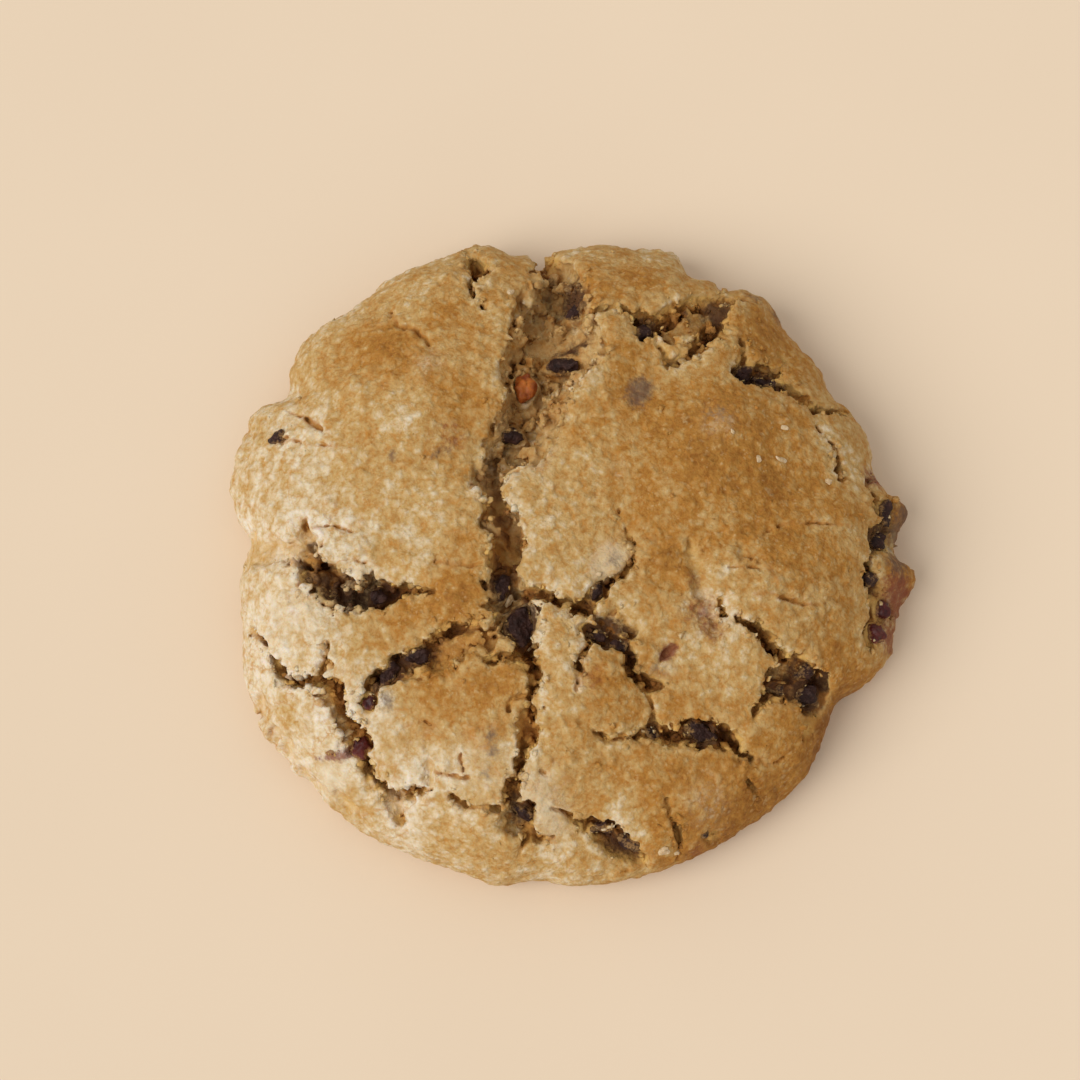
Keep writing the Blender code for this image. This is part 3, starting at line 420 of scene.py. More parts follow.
def rim_radius(angle):
    """The outline's radius, on a smooth closed curve through its points."""
    degrees, radii = np.array(OUTLINE).T
    degrees = np.concatenate([degrees[-2:] - 360, degrees, degrees[:3] + 360])
    radii = np.concatenate([radii[-2:], radii, radii[:3]])
    slopes = np.gradient(radii, degrees)
    wanted = np.degrees(angle) % 360
    left = np.searchsorted(degrees, wanted, side="right") - 1
    span = degrees[left + 1] - degrees[left]
    t = (wanted - degrees[left]) / span
    return (
        radii[left] * (1 + 2 * t) * (1 - t) ** 2
        + radii[left + 1] * t ** 2 * (3 - 2 * t)
        + slopes[left] * span * t * (1 - t) ** 2
        - slopes[left + 1] * span * t ** 2 * (1 - t)
    )


TURNS = range(-SMOOTHING, SMOOTHING + 1, SMOOTHING_STEP)
ANGLES = np.linspace(-math.pi, math.pi, RIM_STEPS + 1)
RIM = rim_radius(ANGLES)
EVEN_RIM = sum(rim_radius(ANGLES + math.radians(turn)) for turn in TURNS) / len(TURNS)
MIDDLE = (
    ((RIM * np.cos(ANGLES)).min() + (RIM * np.cos(ANGLES)).max()) / 2,
    ((RIM * np.sin(ANGLES)).min() + (RIM * np.sin(ANGLES)).max()) / 2,
)
MEAN_RADIUS = float(np.mean([radius for _, radius in OUTLINE]))
ORIGIN = np.array([*MIDDLE, 0])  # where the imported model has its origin


def section():
    """The section's curve from the middle of the top to the base: (radius, height)."""
    share = np.linspace(0, 1, SECTION_STEPS) ** 0.5
    top = RIM_HEIGHT + (HEIGHT - RIM_HEIGHT) * (1 - share ** DOME_POWER) ** DOME_ROUNDING
    turn = np.linspace(0, math.pi / 2, FOOT_STEPS)[1:]
    inset = BASE_INSET / MEAN_RADIUS
    share = np.concatenate([share, 1 - inset * (1 - np.cos(turn))])
    height = np.concatenate([top, RIM_HEIGHT * (1 - np.sin(turn))])
    return share * MEAN_RADIUS, height


def section_map(cell):
    """Signed distance from the section, negative inside, at points cell apart: [radius, height]."""
    radius, height = section()
    radii = np.arange(0, MEAN_RADIUS + ROOM_BESIDE, cell)
    heights = np.arange(-ROOM, HEIGHT + ROOM, cell)
    r, z = np.meshgrid(radii, heights, indexing="ij")
    nearest = np.full(r.shape, np.inf)
    for r0, z0, r1, z1 in zip(radius, height, radius[1:], height[1:]):
        long = (r1 - r0) ** 2 + (z1 - z0) ** 2
        t = np.clip(((r - r0) * (r1 - r0) + (z - z0) * (z1 - z0)) / long, 0, 1)
        nearest = np.minimum(nearest, (r - r0 - t * (r1 - r0)) ** 2 + (z - z0 - t * (z1 - z0)) ** 2)
    top = np.interp(r, radius[:SECTION_STEPS], height[:SECTION_STEPS], right=-1)
    foot = np.interp(r, radius[:SECTION_STEPS - 1:-1], height[:SECTION_STEPS - 1:-1], left=-9, right=99)
    inside = (z < top) & (z > foot)
    return np.where(inside, -1, 1) * np.sqrt(nearest)


SECTION_MAP = section_map(SECTION_CELL)
SECTION_SLOPE = np.gradient(SECTION_MAP, SECTION_CELL)


def sample(table, row, column):
    """Reads a map between its points."""
    row = np.clip(row, 0, table.shape[0] - 1.001)
    column = np.clip(column, 0, table.shape[1] - 1.001)
    i, j = row.astype(np.int32), column.astype(np.int32)
    u, v = row - i, column - j
    near = table[i, j] * (1 - u) + table[i + 1, j] * u
    far = table[i, j + 1] * (1 - u) + table[i + 1, j + 1] * u
    return near * (1 - v) + far * v


def even_radius(x, y):
    """The radius that (x, y) would have if the rim were a circle of the mean radius."""
    angle = np.arctan2(y, x)
    rim = np.interp(angle, ANGLES, RIM)
    even = np.interp(angle, ANGLES, EVEN_RIM)
    radius = np.hypot(x, y)
    share = radius / even
    for _ in range(5):
        share = radius / (even + (rim - even) * np.minimum(share, 1.15) ** NOTCH_FADE)
    return share * MEAN_RADIUS


def above_dome(x, y, z):
    """Height over the unbroken dome along its normal, and the plan's foot of that normal."""
    radius = even_radius(x, y)
    row, column = radius / SECTION_CELL, (z + ROOM) / SECTION_CELL
    over = sample(SECTION_MAP, row, column)
    lean = sample(SECTION_SLOPE[0], row, column)
    pull = np.clip(1 - over * lean / np.maximum(radius, 1), 0.3, 3)
    return over, x * pull, y * pull


# ---------------------------------------------------------------------------------------------------------
# Unevenness.

NOISE_GAIN = 1.7  # brings it near to the range from -1 to 1
PLAN_SLICE = 3.3  # the height at which the plan's unevenness is cut from that in space


def noise(point, size, seed):
    """Smooth unevenness about size across, mostly between -1 and 1, the same on every run."""
    kinds = 256  # of direction, a power of two
    rng = np.random.default_rng(seed)
    direction = rng.normal(size=(kinds, 3)).astype(np.float32)
    direction /= np.linalg.norm(direction, axis=1)[:, None]
    order = rng.permutation(kinds)
    scaled = point / np.float32(size) + rng.uniform(0, 99, 3).astype(np.float32)
    cell = np.floor(scaled).astype(np.int32)
    inside = (scaled - cell).astype(np.float32)
    eased = inside ** 3 * (inside * (inside * 6 - 15) + 10)
    total = np.zeros(len(point), np.float32)
    for corner in itertools.product((0, 1), repeat=3):
        spot = (cell + corner) & (kinds - 1)
        pick = order[(order[spot[:, 0]] + spot[:, 1]) & (kinds - 1)]
        pick = order[(pick + spot[:, 2]) & (kinds - 1)]
        reach = inside - np.array(corner, np.float32)
        weight = np.ones(len(point), np.float32)
        for axis in range(3):
            weight *= eased[:, axis] if corner[axis] else 1 - eased[:, axis]
        total += weight * (direction[pick] * reach).sum(1)
    return total * NOISE_GAIN


def plan_noise(x, y, size, seed):
    """The same, over the plan."""
    point = np.stack([x.ravel(), y.ravel(), np.full(x.size, PLAN_SLICE)], 1).astype(np.float32)
    return noise(point, size, seed).reshape(x.shape)


def swelling(point, size, seed):
    """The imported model's own slow unevenness, so that both keep to one form."""
    rng = np.random.default_rng(seed)
    total = np.zeros(len(point))
    for _ in range(SWELL_WAVES):
        direction = rng.normal(size=3)
        wave = math.tau / (size * rng.uniform(*SWELL_SPREAD)) * direction / np.linalg.norm(direction)
        total += np.sin(point @ wave + rng.uniform(0, math.tau))
    return total * math.sqrt(2 / SWELL_WAVES)


def ease(value, low, high):
    """0 below low, 1 above high and smooth between."""
    t = np.clip((value - low) / (high - low), 0, 1)
    return t * t * (3 - 2 * t)


# ---------------------------------------------------------------------------------------------------------
# The plan's maps.

PLAN_AXIS = np.arange(-PLAN_REACH, PLAN_REACH, PLAN_CELL)
HULL_SIDES = 16  # of the outline that is taken round a chip


def on_plan(table, x, y):
    """Reads one of the plan's maps."""
    return sample(table, (x + PLAN_REACH) / PLAN_CELL, (y + PLAN_REACH) / PLAN_CELL)


def strayed(x, y, layers, seed):
    """The sum of layers of unevenness over the plan, each a size and an amount."""
    total = np.zeros_like(x)
    for number, (size, amount) in enumerate(layers):
        total += amount * plan_noise(x, y, size, seed + number)
    return total


def to_segment(x, y, start, end):
    """Distance of (x, y) from the line between two points, how far along it that is, as a share, and how
    far (x, y) lies aside of it, more than 0 on the left."""
    run, rise = end[0] - start[0], end[1] - start[1]
    length = math.hypot(run, rise)
    t = np.clip(((x - start[0]) * run + (y - start[1]) * rise) / length ** 2, 0, 1)
    side = (run * (y - start[1]) - rise * (x - start[0])) / length
    return np.hypot(x - start[0] - t * run, y - start[1] - t * rise), t, side


def bank(side, lean):
    """The share of a crack's depth at a side from -1 to 1, for a crack that leans."""
    bowl = 1 - BOWL * side ** 2
    slope = SHELF + (1 - SHELF) * ease(side * math.copysign(1, lean), *SLOPE_ENDS)
    return bowl + (slope - bowl) * abs(lean)


def window(xs, ys, reach):
    """The part of the plan's maps that lies within reach of some points."""
    spans = (np.searchsorted(PLAN_AXIS, (min(values) - reach, max(values) + reach)) for values in (xs, ys))
    return tuple(slice(*span) for span in spans)


def hairline_cracks():
    """The hairlines, in the way that the cracks are given."""
    ends, middle = HAIRLINE_WIDTHS
    for route in HAIRLINES:
        shares = [number / (len(route) - 1) for number in range(len(route))]
        halves = [ends + (middle - ends) * math.sin(math.pi * (0.15 + 0.7 * share)) for share in shares]
        yield HAIRLINE_DEPTH, 0, [(x, y, half) for (x, y), half in zip(route, halves)]


def crack_maps():
    """Distance from the nearest lip, negative in a crack, the crack's depth, and of the nearest crack the
    half width, the greatest depth, 1 where it is only a fold, and 1 where it is a hairline."""
    x, y = np.meshgrid(PLAN_AXIS, PLAN_AXIS, indexing="ij")
    warped_x = x + strayed(x, y, WARP, seed=11)
    warped_y = y + strayed(x, y, WARP, seed=21)
    bites = strayed(x, y, BITES, seed=31)
    for number, (size, amount) in enumerate(TEETH):
        bites -= amount * (np.abs(plan_noise(x, y, size, seed=35 + number)) * LUMP_GAIN - LUMP_MEAN)
    share = even_radius(x, y) / MEAN_RADIUS
    bites *= 1 - SMOOTH_LIPS * ease(share, *RAGGED_TO)
    away = np.full(x.shape, FAR)
    depth = np.zeros(x.shape)
    near_depth = np.zeros(x.shape)
    width = np.zeros(x.shape)
    fine = np.zeros(x.shape)
    for deepest, lean, route in (*CRACKS, *hairline_cracks()):
        for (x0, y0, half0), (x1, y1, half1) in zip(route, route[1:]):
            part = window((x0, x1), (y0, y1), FAR + max(half0, half1) + 1)
            distance, t, side = to_segment(warped_x[part], warped_y[part], (x0, y0), (x1, y1))
            half = half0 + (half1 - half0) * t
            distance = distance - half - bites[part] * np.minimum(half, 1)
            nearer = distance < away[part]
            away[part] = np.where(nearer, distance, away[part])
            width[part] = np.where(nearer, half, width[part])
            fine[part] = np.where(nearer, deepest == HAIRLINE_DEPTH, fine[part])
            near_depth[part] = np.where(nearer, np.minimum(deepest, DEEPEST_SHARE * half), near_depth[part])
            full = np.minimum(deepest, DEEPEST_SHARE * half) * bank(np.clip(side / half, -1, 1), lean)
            depth[part] = np.maximum(depth[part], full * ease(-distance, *BANK_ENDS))
    fade = 1 - (1 - NOTCH_DEPTH) * ease(share, *NOTCH_BELT)
    folded = ease(near_depth / np.maximum(width, 0.1), *FOLD) * (width > 0)
    return away, depth * fade, width, near_depth, folded, fine


def plan_hull(points, x, y):
    """Distance of (x, y) from the outline of some points seen from above, negative inside."""
    away = np.full(x.shape, -np.inf)
    for turn in np.linspace(0, math.tau, HULL_SIDES, endpoint=False):
        along = np.array([math.cos(turn), math.sin(turn)])
        away = np.maximum(away, x * along[0] + y * along[1] - (points[:, :2] @ along).max())
    return away


def spots(x, y, places):
    """The sum of soft round spots."""
    total = np.zeros(x.shape)
    for spot_x, spot_y, radius, amount in places:
        total += amount * np.exp(-((x - spot_x) ** 2 + (y - spot_y) ** 2) / radius ** 2)
    return total


AWAY, DEPTH, WIDTH, DEPTH_NEAR, FOLDED, FINE = crack_maps()
BARE = np.zeros(AWAY.shape)  # 1 over a chip or fruit that lies in a crack
SMUDGE_AND_SHADE = np.zeros(AWAY.shape)  # the same for a chip, and fading round it, darkened by chocolate and as painted shade


# ---------------------------------------------------------------------------------------------------------
# The dough.


def bed_pieces():
    """Lays bare the upper part of each packed chip and fruit: the crack is as deep round it as it lies."""
    for name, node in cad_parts.items():
        if name == "dough":
            continue
        points = points_of(node.data)
        low, high = points[:, 2].min(), points[:, 2].max()
        middle = points[:, :2].mean(0)
        bed = low + BEDDED * (high - low)
        over, _, _ = above_dome(*(np.array([value]) for value in (middle[0], middle[1], bed)))
        part = window(points[:, 0], points[:, 1], 2)
        x, y = np.meshgrid(PLAN_AXIS[part[0]], PLAN_AXIS[part[1]], indexing="ij")
        away = plan_hull(points, x, y)
        in_crack = AWAY[part] < IN_CRACK
        share = 1 - ease(away, *BED_FADE)
        DEPTH[part] += (np.maximum(-over[0], 0) - DEPTH[part]) * share * in_crack
        ragged = away - LAID_BARE + RAGGED_BED[1] * plan_noise(x, y, RAGGED_BED[0], seed=39)
        AWAY[part] = np.where(in_crack, np.minimum(AWAY[part], ragged), AWAY[part])
        BARE[part] = np.maximum(BARE[part], ease(away, *BARE_FADE) * in_crack)
        if name.startswith("chip"):
            # Darkened by chocolate and as painted shade round a chip in a crack.
            darkened_round_chip = np.exp(-np.maximum(away, 0) / SMUDGE_AND_SHADE_REACH) * in_crack
            SMUDGE_AND_SHADE[part] = np.maximum(SMUDGE_AND_SHADE[part], darkened_round_chip)


def plain_field(x, y, z):
    """Signed distance of the dough with its cracks but no fine relief, the depth under the dome, and the
    distance from the nearest crack's hollow."""
    over, foot_x, foot_y = above_dome(x, y, z)
    upper = np.clip((z - RIM_HEIGHT) / (HEIGHT - RIM_HEIGHT), 0, 1)
    dome = np.stack([foot_x, foot_y, z], 1)
    away = on_plan(AWAY, foot_x, foot_y)
    width = on_plan(WIDTH, foot_x, foot_y)
    swell = FLATNESS * 0.5 * swelling(dome, SWELL_SIZE, seed=7)
    droop = LIP_DROOP * np.exp(-np.maximum(away, 0) / LIP_BELT) * np.minimum(width, 1)
    over = over - upper * (swell - droop)
    under = -over
    wall = away + WALL_SLOPE * np.clip(under, 0, SLOPE_DEPTH)
    hollow = np.maximum(wall, under - on_plan(DEPTH, foot_x, foot_y) * ease(z, *FOOT_BELT))
    thick = np.minimum(0.3 + 0.7 * width, 1)
    rounding = LIP_ROUNDING * thick + FOLD_ROUNDING * on_plan(FOLDED, foot_x, foot_y)
    mix = np.clip(0.5 + 0.5 * (over + hollow) / rounding, 0, 1)
    field = over * mix - hollow * (1 - mix) + rounding * mix * (1 - mix)
    return np.maximum(field, -z), under, hollow


def lumps(point, size, seed):
    """Rounded lumps parted by creases: 0 in a crease and about 1 on a lump."""
    return np.abs(noise(point, size, seed)) * LUMP_GAIN


def lumpy(point, layers):
    """The sum of layers of lumps, each a size, an amount and a seed."""
    return sum(amount * (lumps(point, size, seed) - LUMP_MEAN) for size, amount, seed in layers)


def relief(point):
    """How far the crust's and the side's fine lumps stand out."""
    upper = ease(point[:, 2], *SHOULDER)
    base = 1 - ease(point[:, 2], *BAKED_FLAT)
    away = np.maximum(on_plan(AWAY, point[:, 0], point[:, 1]), 0)
    size, amount, seed = UNEVENLY_ROUGH
    rough = SMOOTHEST + (1 - SMOOTHEST) * np.exp(-away / ROUGH_BELT) + amount * noise(point, size, seed)
    size, amount, seed = CRUST_SWELL
    crust = amount * noise(point, size, seed) + np.maximum(rough, LEAST_ROUGH) * lumpy(point, CRUST_LUMPS)
    side = lumpy(point, SIDE_LUMPS)
    return (crust * upper + side * (1 - upper)) * (1 - base)


def in_space(table, point, low):
    """Reads a grid of the space between its points."""
    place = np.clip((point - low) / CELL, 0, np.array(table.shape) - 1.001)
    cell = place.astype(np.int32)
    inside = (place - cell).astype(np.float32)
    total = np.zeros(len(point), np.float32)
    for corner in itertools.product((0, 1), repeat=3):
        weight = np.ones(len(point), np.float32)
        for axis in range(3):
            weight *= inside[:, axis] if corner[axis] else 1 - inside[:, axis]
        total += weight * table[tuple((cell + corner).T)]
    return total


def break_up(field, near, low, size, drawn_back, proud, left_out, seed):
    """Makes the field near the cracks over as a heap of rounded lumps about size across."""
    rng = np.random.default_rng(seed)
    counts = np.ceil(np.array(field.shape) * CELL / size).astype(int) + 3
    index = np.stack(np.meshgrid(*(np.arange(count) for count in counts), indexing="ij"), -1)
    start = low - 1.5 * size
    core = (start + size * (index + rng.uniform(*RUBBLE_PLACES, index.shape))).astype(np.float32)
    value = in_space(field, core.reshape(-1, 3), low).reshape(counts)
    weight = in_space(near, core.reshape(-1, 3), low).reshape(counts)
    radius = np.minimum(size * rng.uniform(*RUBBLE_RADII, counts), proud * size * weight - value)
    idle = (value > 0.05 * size) | (weight < 0.1) | (rng.uniform(size=counts) < left_out)
    radius = np.where(idle, NONE_THERE, radius).astype(np.float32)
    chosen = np.nonzero((near > 0.02) & (np.abs(field) < 1.5 * size))
    point = (low + CELL * np.stack(chosen, 1)).astype(np.float32)
    bent = point.copy()
    for axis in range(3):
        for share, amount, draw in RUBBLE_BENDS:
            bent[:, axis] += amount * size * noise(point, share * size, seed + draw + axis)
    cell = ((bent - start) / size).astype(np.int32)
    best = np.full(len(point), -NONE_THERE, np.float32)
    for step in itertools.product((-1, 0, 1), repeat=3):
        spot = tuple((cell + step).T)
        best = np.minimum(best, np.linalg.norm(bent - core[spot], axis=1) - radius[spot])
    rest = field[chosen] + drawn_back * size * near[chosen]
    soft = RUBBLE_FADE * size
    mix = np.clip(0.5 + 0.5 * (best - rest) / soft, 0, 1)
    field[chosen] = best * (1 - mix) + rest * mix - soft * mix * (1 - mix)


def dough_field():
    """The dough's field on a grid of cells, with the grid's first corner."""
    low = np.array([(RIM * np.cos(ANGLES)).min(), (RIM * np.sin(ANGLES)).min(), 0]) - MARGIN
    high = np.array([(RIM * np.cos(ANGLES)).max(), (RIM * np.sin(ANGLES)).max(), HEIGHT + 1]) + MARGIN
    steps = np.ceil((high - low) / CELL).astype(int) + 1
    x, y, z = (low[axis] + CELL * np.arange(steps[axis]) for axis in range(3))
    x, y = (plane.ravel() for plane in np.meshgrid(x, y, indexing="ij"))
    radius = even_radius(x, y)
    field = np.empty((len(x), len(z)), np.float32)
    for layer, height in enumerate(z):
        level = np.full(len(x), (height + ROOM) / SECTION_CELL)
        field[:, layer] = sample(SECTION_MAP, radius / SECTION_CELL, level)
    near = np.zeros_like(field)
    column, layer = np.nonzero((field < OUTER_BELT) & (field > -WALL_DEPTH))
    plain, under, hollow = plain_field(x[column], y[column], z[layer])
    width = on_plan(WIDTH, x[column], y[column])
    skin_only = np.abs(plain) < SKIN
    point = np.stack([x[column], y[column], z[layer]], 1)[skin_only].astype(np.float32)
    plain[skin_only] -= relief(point)
    field[column, layer] = plain
    field = field.reshape(steps)
    deepness = on_plan(DEPTH_NEAR, x[column], y[column])
    bare = on_plan(BARE, x[column], y[column])
    inner = 1 - SMOOTH_RUBBLE * ease(radius[column] / MEAN_RADIUS, *RAGGED_TO)
    for number, (size, drawn_back, proud, left_out, deep, wide) in enumerate(RUBBLE):
        share = ease(hollow, 1.2 * size + 0.4, 0.2) * ease(under, deep - 0.3, deep + 0.4)
        share *= ease(deepness, *DEEP_ENOUGH) * (1 - bare) * inner
        share *= ease(width, wide - 0.3, wide + 0.3) * ease(z[layer], *RUBBLE_FOOT)
        near[column, layer] = share
        break_up(field, near.reshape(steps), low, size, drawn_back, proud, left_out, 91 + 10 * number)
    return np.maximum(field, -z), low


def skin(field, low):
    """Points and four-cornered faces of the surface where the field is nought."""
    inside = field < 0
    corners = list(itertools.product((0, 1), repeat=3))
    ends = [slice(None, -1), slice(1, None)]
    filled = sum(inside[ends[i], ends[j], ends[k]].astype(np.int8) for i, j, k in corners)
    active = (filled > 0) & (filled < len(corners))
    cell = np.argwhere(active)
    number = np.full(active.shape, -1, np.int32)
    number[active] = np.arange(len(cell))
    total = np.zeros((len(cell), 3))
    crossings = np.zeros(len(cell))
    for start, end in itertools.combinations(corners, 2):
        if sum(abs(a - b) for a, b in zip(start, end)) != 1:
            continue
        first = field[tuple((cell + start).T)]
        second = field[tuple((cell + end).T)]
        crossed = (first < 0) != (second < 0)
        t = first[crossed] / (first[crossed] - second[crossed])
        total[crossed] += np.array(start) + t[:, None] * (np.array(end) - np.array(start))
        crossings[crossed] += 1
    point = low + CELL * (cell + total / crossings[:, None])
    faces = []
    for axis in range(3):
        one, two = np.eye(3, dtype=int)[(axis + 1) % 3], np.eye(3, dtype=int)[(axis + 2) % 3]
        ahead = np.roll(inside, -1, axis)
        edge = np.argwhere(inside != ahead)
        edge = edge[(edge[:, axis] < inside.shape[axis] - 1)]
        ring = [number[tuple((edge - back).T)] for back in (one + two, two, 0 * one, one)]
        ring = np.stack(ring, 1)
        outward = inside[tuple(edge.T)]
        faces += [ring[outward], ring[~outward][:, ::-1]]
    return point, np.concatenate(faces)


def in_scene(name, data):
    """A new object, put in the scene."""
    made = bpy.data.objects.new(name, data)
    bpy.context.scene.collection.objects.link(made)
    return made


def mesh_from(bm, name):
    """A mesh of what has been worked, whose workshop is then cleared."""
    mesh = bpy.data.meshes.new(name)
    bm.to_mesh(mesh)
    bm.free()
    return mesh


def mesh_object(name, point, faces):
    """An object in metres from points in millimetres, its middle over the origin."""
    mesh = bpy.data.meshes.new(name)
    placed = (point - ORIGIN) * MM
    mesh.vertices.add(len(placed))
    mesh.vertices.foreach_set("co", placed.astype(np.float32).ravel())
    size = faces.shape[1]
    mesh.loops.add(faces.size)
    mesh.loops.foreach_set("vertex_index", faces.astype(np.int32).ravel())
    mesh.polygons.add(len(faces))
    mesh.polygons.foreach_set("loop_start", np.arange(0, faces.size, size, dtype=np.int32))
    mesh.update(calc_edges=True)
    mesh.validate()
    mesh.shade_smooth()
    return in_scene(name, mesh)


def settle(made):
    """Applies an object's modifiers to its mesh."""
    graph = bpy.context.evaluated_depsgraph_get()
    mesh = bpy.data.meshes.new_from_object(made.evaluated_get(graph))
    mesh.validate()
    made.modifiers.clear()
    old = made.data
    made.data = mesh
    bpy.data.meshes.remove(old)
    mesh.name = made.name
    return made


def points_of(mesh):
    """A mesh's points in millimetres, in the plan's own place."""
    place = np.empty(len(mesh.vertices) * 3, np.float32)
    mesh.vertices.foreach_get("co", place)
    return place.reshape(-1, 3) / MM + ORIGIN


def normals_of(mesh):
    """The directions in which a mesh's points face."""
    normal = np.empty(len(mesh.vertices) * 3, np.float32)
    mesh.vertices.foreach_get("normal", normal)
    return normal.reshape(-1, 3)


def paint(mesh, name, values):
    """Marks a mesh's points with values that a material or a tree reads by name."""
    layer = mesh.attributes.new(name, "FLOAT", "POINT")
    layer.data.foreach_set("value", np.asarray(values, np.float32))


def in_order(mesh):
    """A mesh's points and triangles, in an order that is the same on every run. Thinning leaves them in one
    that isn't, and the crumbs are strewn by it."""
    point = points_of(mesh)
    corner = np.empty(len(mesh.loops), np.int32)
    mesh.loops.foreach_get("vertex_index", corner)
    order = np.lexsort(point.T)
    faces = np.argsort(order)[corner.reshape(-1, 3)]
    start = faces.argmin(1)[:, None]
    faces = np.take_along_axis(faces, (start + np.arange(3)) % 3, axis=1)
    return point[order], faces[np.lexsort(faces.T[::-1])]


def mark_dough(mesh, field, low):
    """Marks where the dough is browned, sunk, torn, stained and strewn with crumbs, where chocolate and
    painted shade darken its cracks, and the painted shade in its creases and pits; some of its browning is
    painted shade.
    """
    place = points_of(mesh)
    x, y, z = place.T
    _, under, hollow = plain_field(x, y, z)
    _, foot_x, foot_y = above_dome(x, y, z)
    away = on_plan(AWAY, foot_x, foot_y)
    deepness = on_plan(DEPTH_NEAR, foot_x, foot_y)
    bare = on_plan(BARE, foot_x, foot_y)
    top = ease(z, *TOP_BELT)
    outside = ease(z, *CLEAR_OF_BASE)
    valley = ease(on_plan(WIDTH, foot_x, foot_y), *VALLEY)
    strewn = STREWN_LIP * np.exp(-(away / 0.6) ** 2) * top + STREWN_CRACK * ease(hollow, 0.9, 0.0) * (z > 4)
    strewn = strewn * ease(deepness, *DEEP_ENOUGH) * (1 - 0.8 * bare) + STREWN_CRUST * top
    sunk = ease(under, 0.35, 5.0) * ease(-hollow, -1.5, -0.3) * (z > 1)
    torn = np.maximum(ease(under, 0.15, 0.9) * ease(hollow, 1.2, 0.3) * outside, ease(sunk, 0.02, 0.25))
    # Darkened by chocolate and as painted shade round the chips in the cracks.
    darkened_round_chips = SMUDGE_AND_SHADE_MOST * (1 - 0.5 * valley) * on_plan(SMUDGE_AND_SHADE, foot_x, foot_y)
    # Darkened by chocolate and as painted shade in the cracks.
    smeared = np.clip(spots(foot_x, foot_y, CHOCOLATE_AND_SHADE_SPOTS) + darkened_round_chips, 0, 1)
    floury = np.clip(spots(foot_x, foot_y, FLOURY_STAINS), 0, 1) * outside * ease(under, 1.4, 0.5)
    marks = {
        "crumbly": np.clip(strewn, 0, 1),
        "sunk": sunk,
        "lip": np.exp(-np.maximum(away, 0) / 1.4) * top * (1 - ease(under, 0.5, 2.0)),
        # Browning, with painted shade on the near right rim and beside some folds.
        "bake": EVEN_BAKE + spots(foot_x, foot_y, BROWNED_AND_SHADED) - PALER_SIDE * (1 - top),
        "grey": np.clip(spots(foot_x, foot_y, GREY_STAINS), 0, 1) * outside,
        "rosy": np.clip(spots(foot_x, foot_y, ROSY_STAINS), 0, 1) * outside,
        "floury": floury,
        "smeared": smeared * ease(under, 0.4, 1.6),
        "torn": torn * (1 - 0.7 * on_plan(FOLDED, foot_x, foot_y)),
        "valley": valley * (away < 1.5),
        "line": on_plan(FINE, foot_x, foot_y) * ease(away, 0.12, -0.12) * top,
        "foot": 1 - ease(z, 0.05, 1.2),
    }
    normal = normals_of(mesh)
    # Painted shade: the less open air just off the skin, the higher the mark, and the darker the dough is
    # painted there.
    for name, reach in CREASE_AND_PIT_SHADE:
        open_share = in_space(field, place + reach * normal, low) / reach
        marks[name] = 1 - np.clip(open_share, 0, 1)
    for name, values in marks.items():
        paint(mesh, name, values)


def make_dough():
    """The whole cookie but its chips and fruit, with the field that it was made from."""
    bed_pieces()
    field, low = dough_field()
    point, faces = skin(field, low)
    whole = mesh_object("dough to thin", point, faces)
    thin = whole.modifiers.new("thin", "DECIMATE")
    thin.ratio = MOST_TRIANGLES / (2 * len(faces))
    thin.use_collapse_triangulate = True
    settle(whole)
    made = mesh_object("baked_dough", *in_order(whole.data))
    bpy.data.meshes.remove(whole.data)
    mark_dough(made.data, field, low)
    return made, (field, low)


# ---------------------------------------------------------------------------------------------------------
# Colours, given as they look on a screen, from 0 to 255.


def rgb(red, green, blue):
    """The same colour in the linear light that Blender works in."""
    linear = [((v / 255 + 0.055) / 1.055) ** 2.4 if v > 10 else v / 255 / 12.92 for v in (red, green, blue)]
    return (*linear, 1.0)


CRUST = (  # (browning mark with its painted shade, colour), from the palest crust to the brownest
    (0.0, rgb(229, 217, 200)), (0.20, rgb(217, 199, 168)), (0.44, rgb(192, 158, 102)),
    (0.70, rgb(172, 121, 52)), (1.0, rgb(134, 85, 25)),
)
NARROW_CRACK = (  # (depth, colour), from the lips down to the floor, darker with depth as moister crumb and as painted shade
    (0.0, rgb(212, 170, 96)), (0.30, rgb(186, 134, 66)), (0.62, rgb(150, 98, 44)), (1.0, rgb(104, 64, 30)),
)
# The wide cracks' crumb, also darker with depth as moister crumb and as painted shade.
WIDE_CRACK = (
    (0.0, rgb(214, 180, 124)), (0.4, rgb(204, 166, 112)), (0.75, rgb(180, 138, 86)),
    (1.0, rgb(148, 104, 58)),
)
GOLDEN_PORE_AND_CREVICE_SHADE = (0.82, 0.63, 0.32, 1.0)  # pores, and painted shade in the crumb's crevices, multiply the crust's colour by this
PALE_FLECK = rgb(224, 197, 146)
# Painted highlight on the tops of the crumb's lumps.
CRUMB_LIT_TOP = rgb(236, 220, 184)
CRAZED_LINE = rgb(182, 124, 50)
HAIRLINE_BROWN = rgb(166, 108, 42)
# Dark for chocolate in the crumb, and for shade painted in the cracks.
CHOCOLATE_AND_SHADE_DARK = rgb(66, 36, 22)
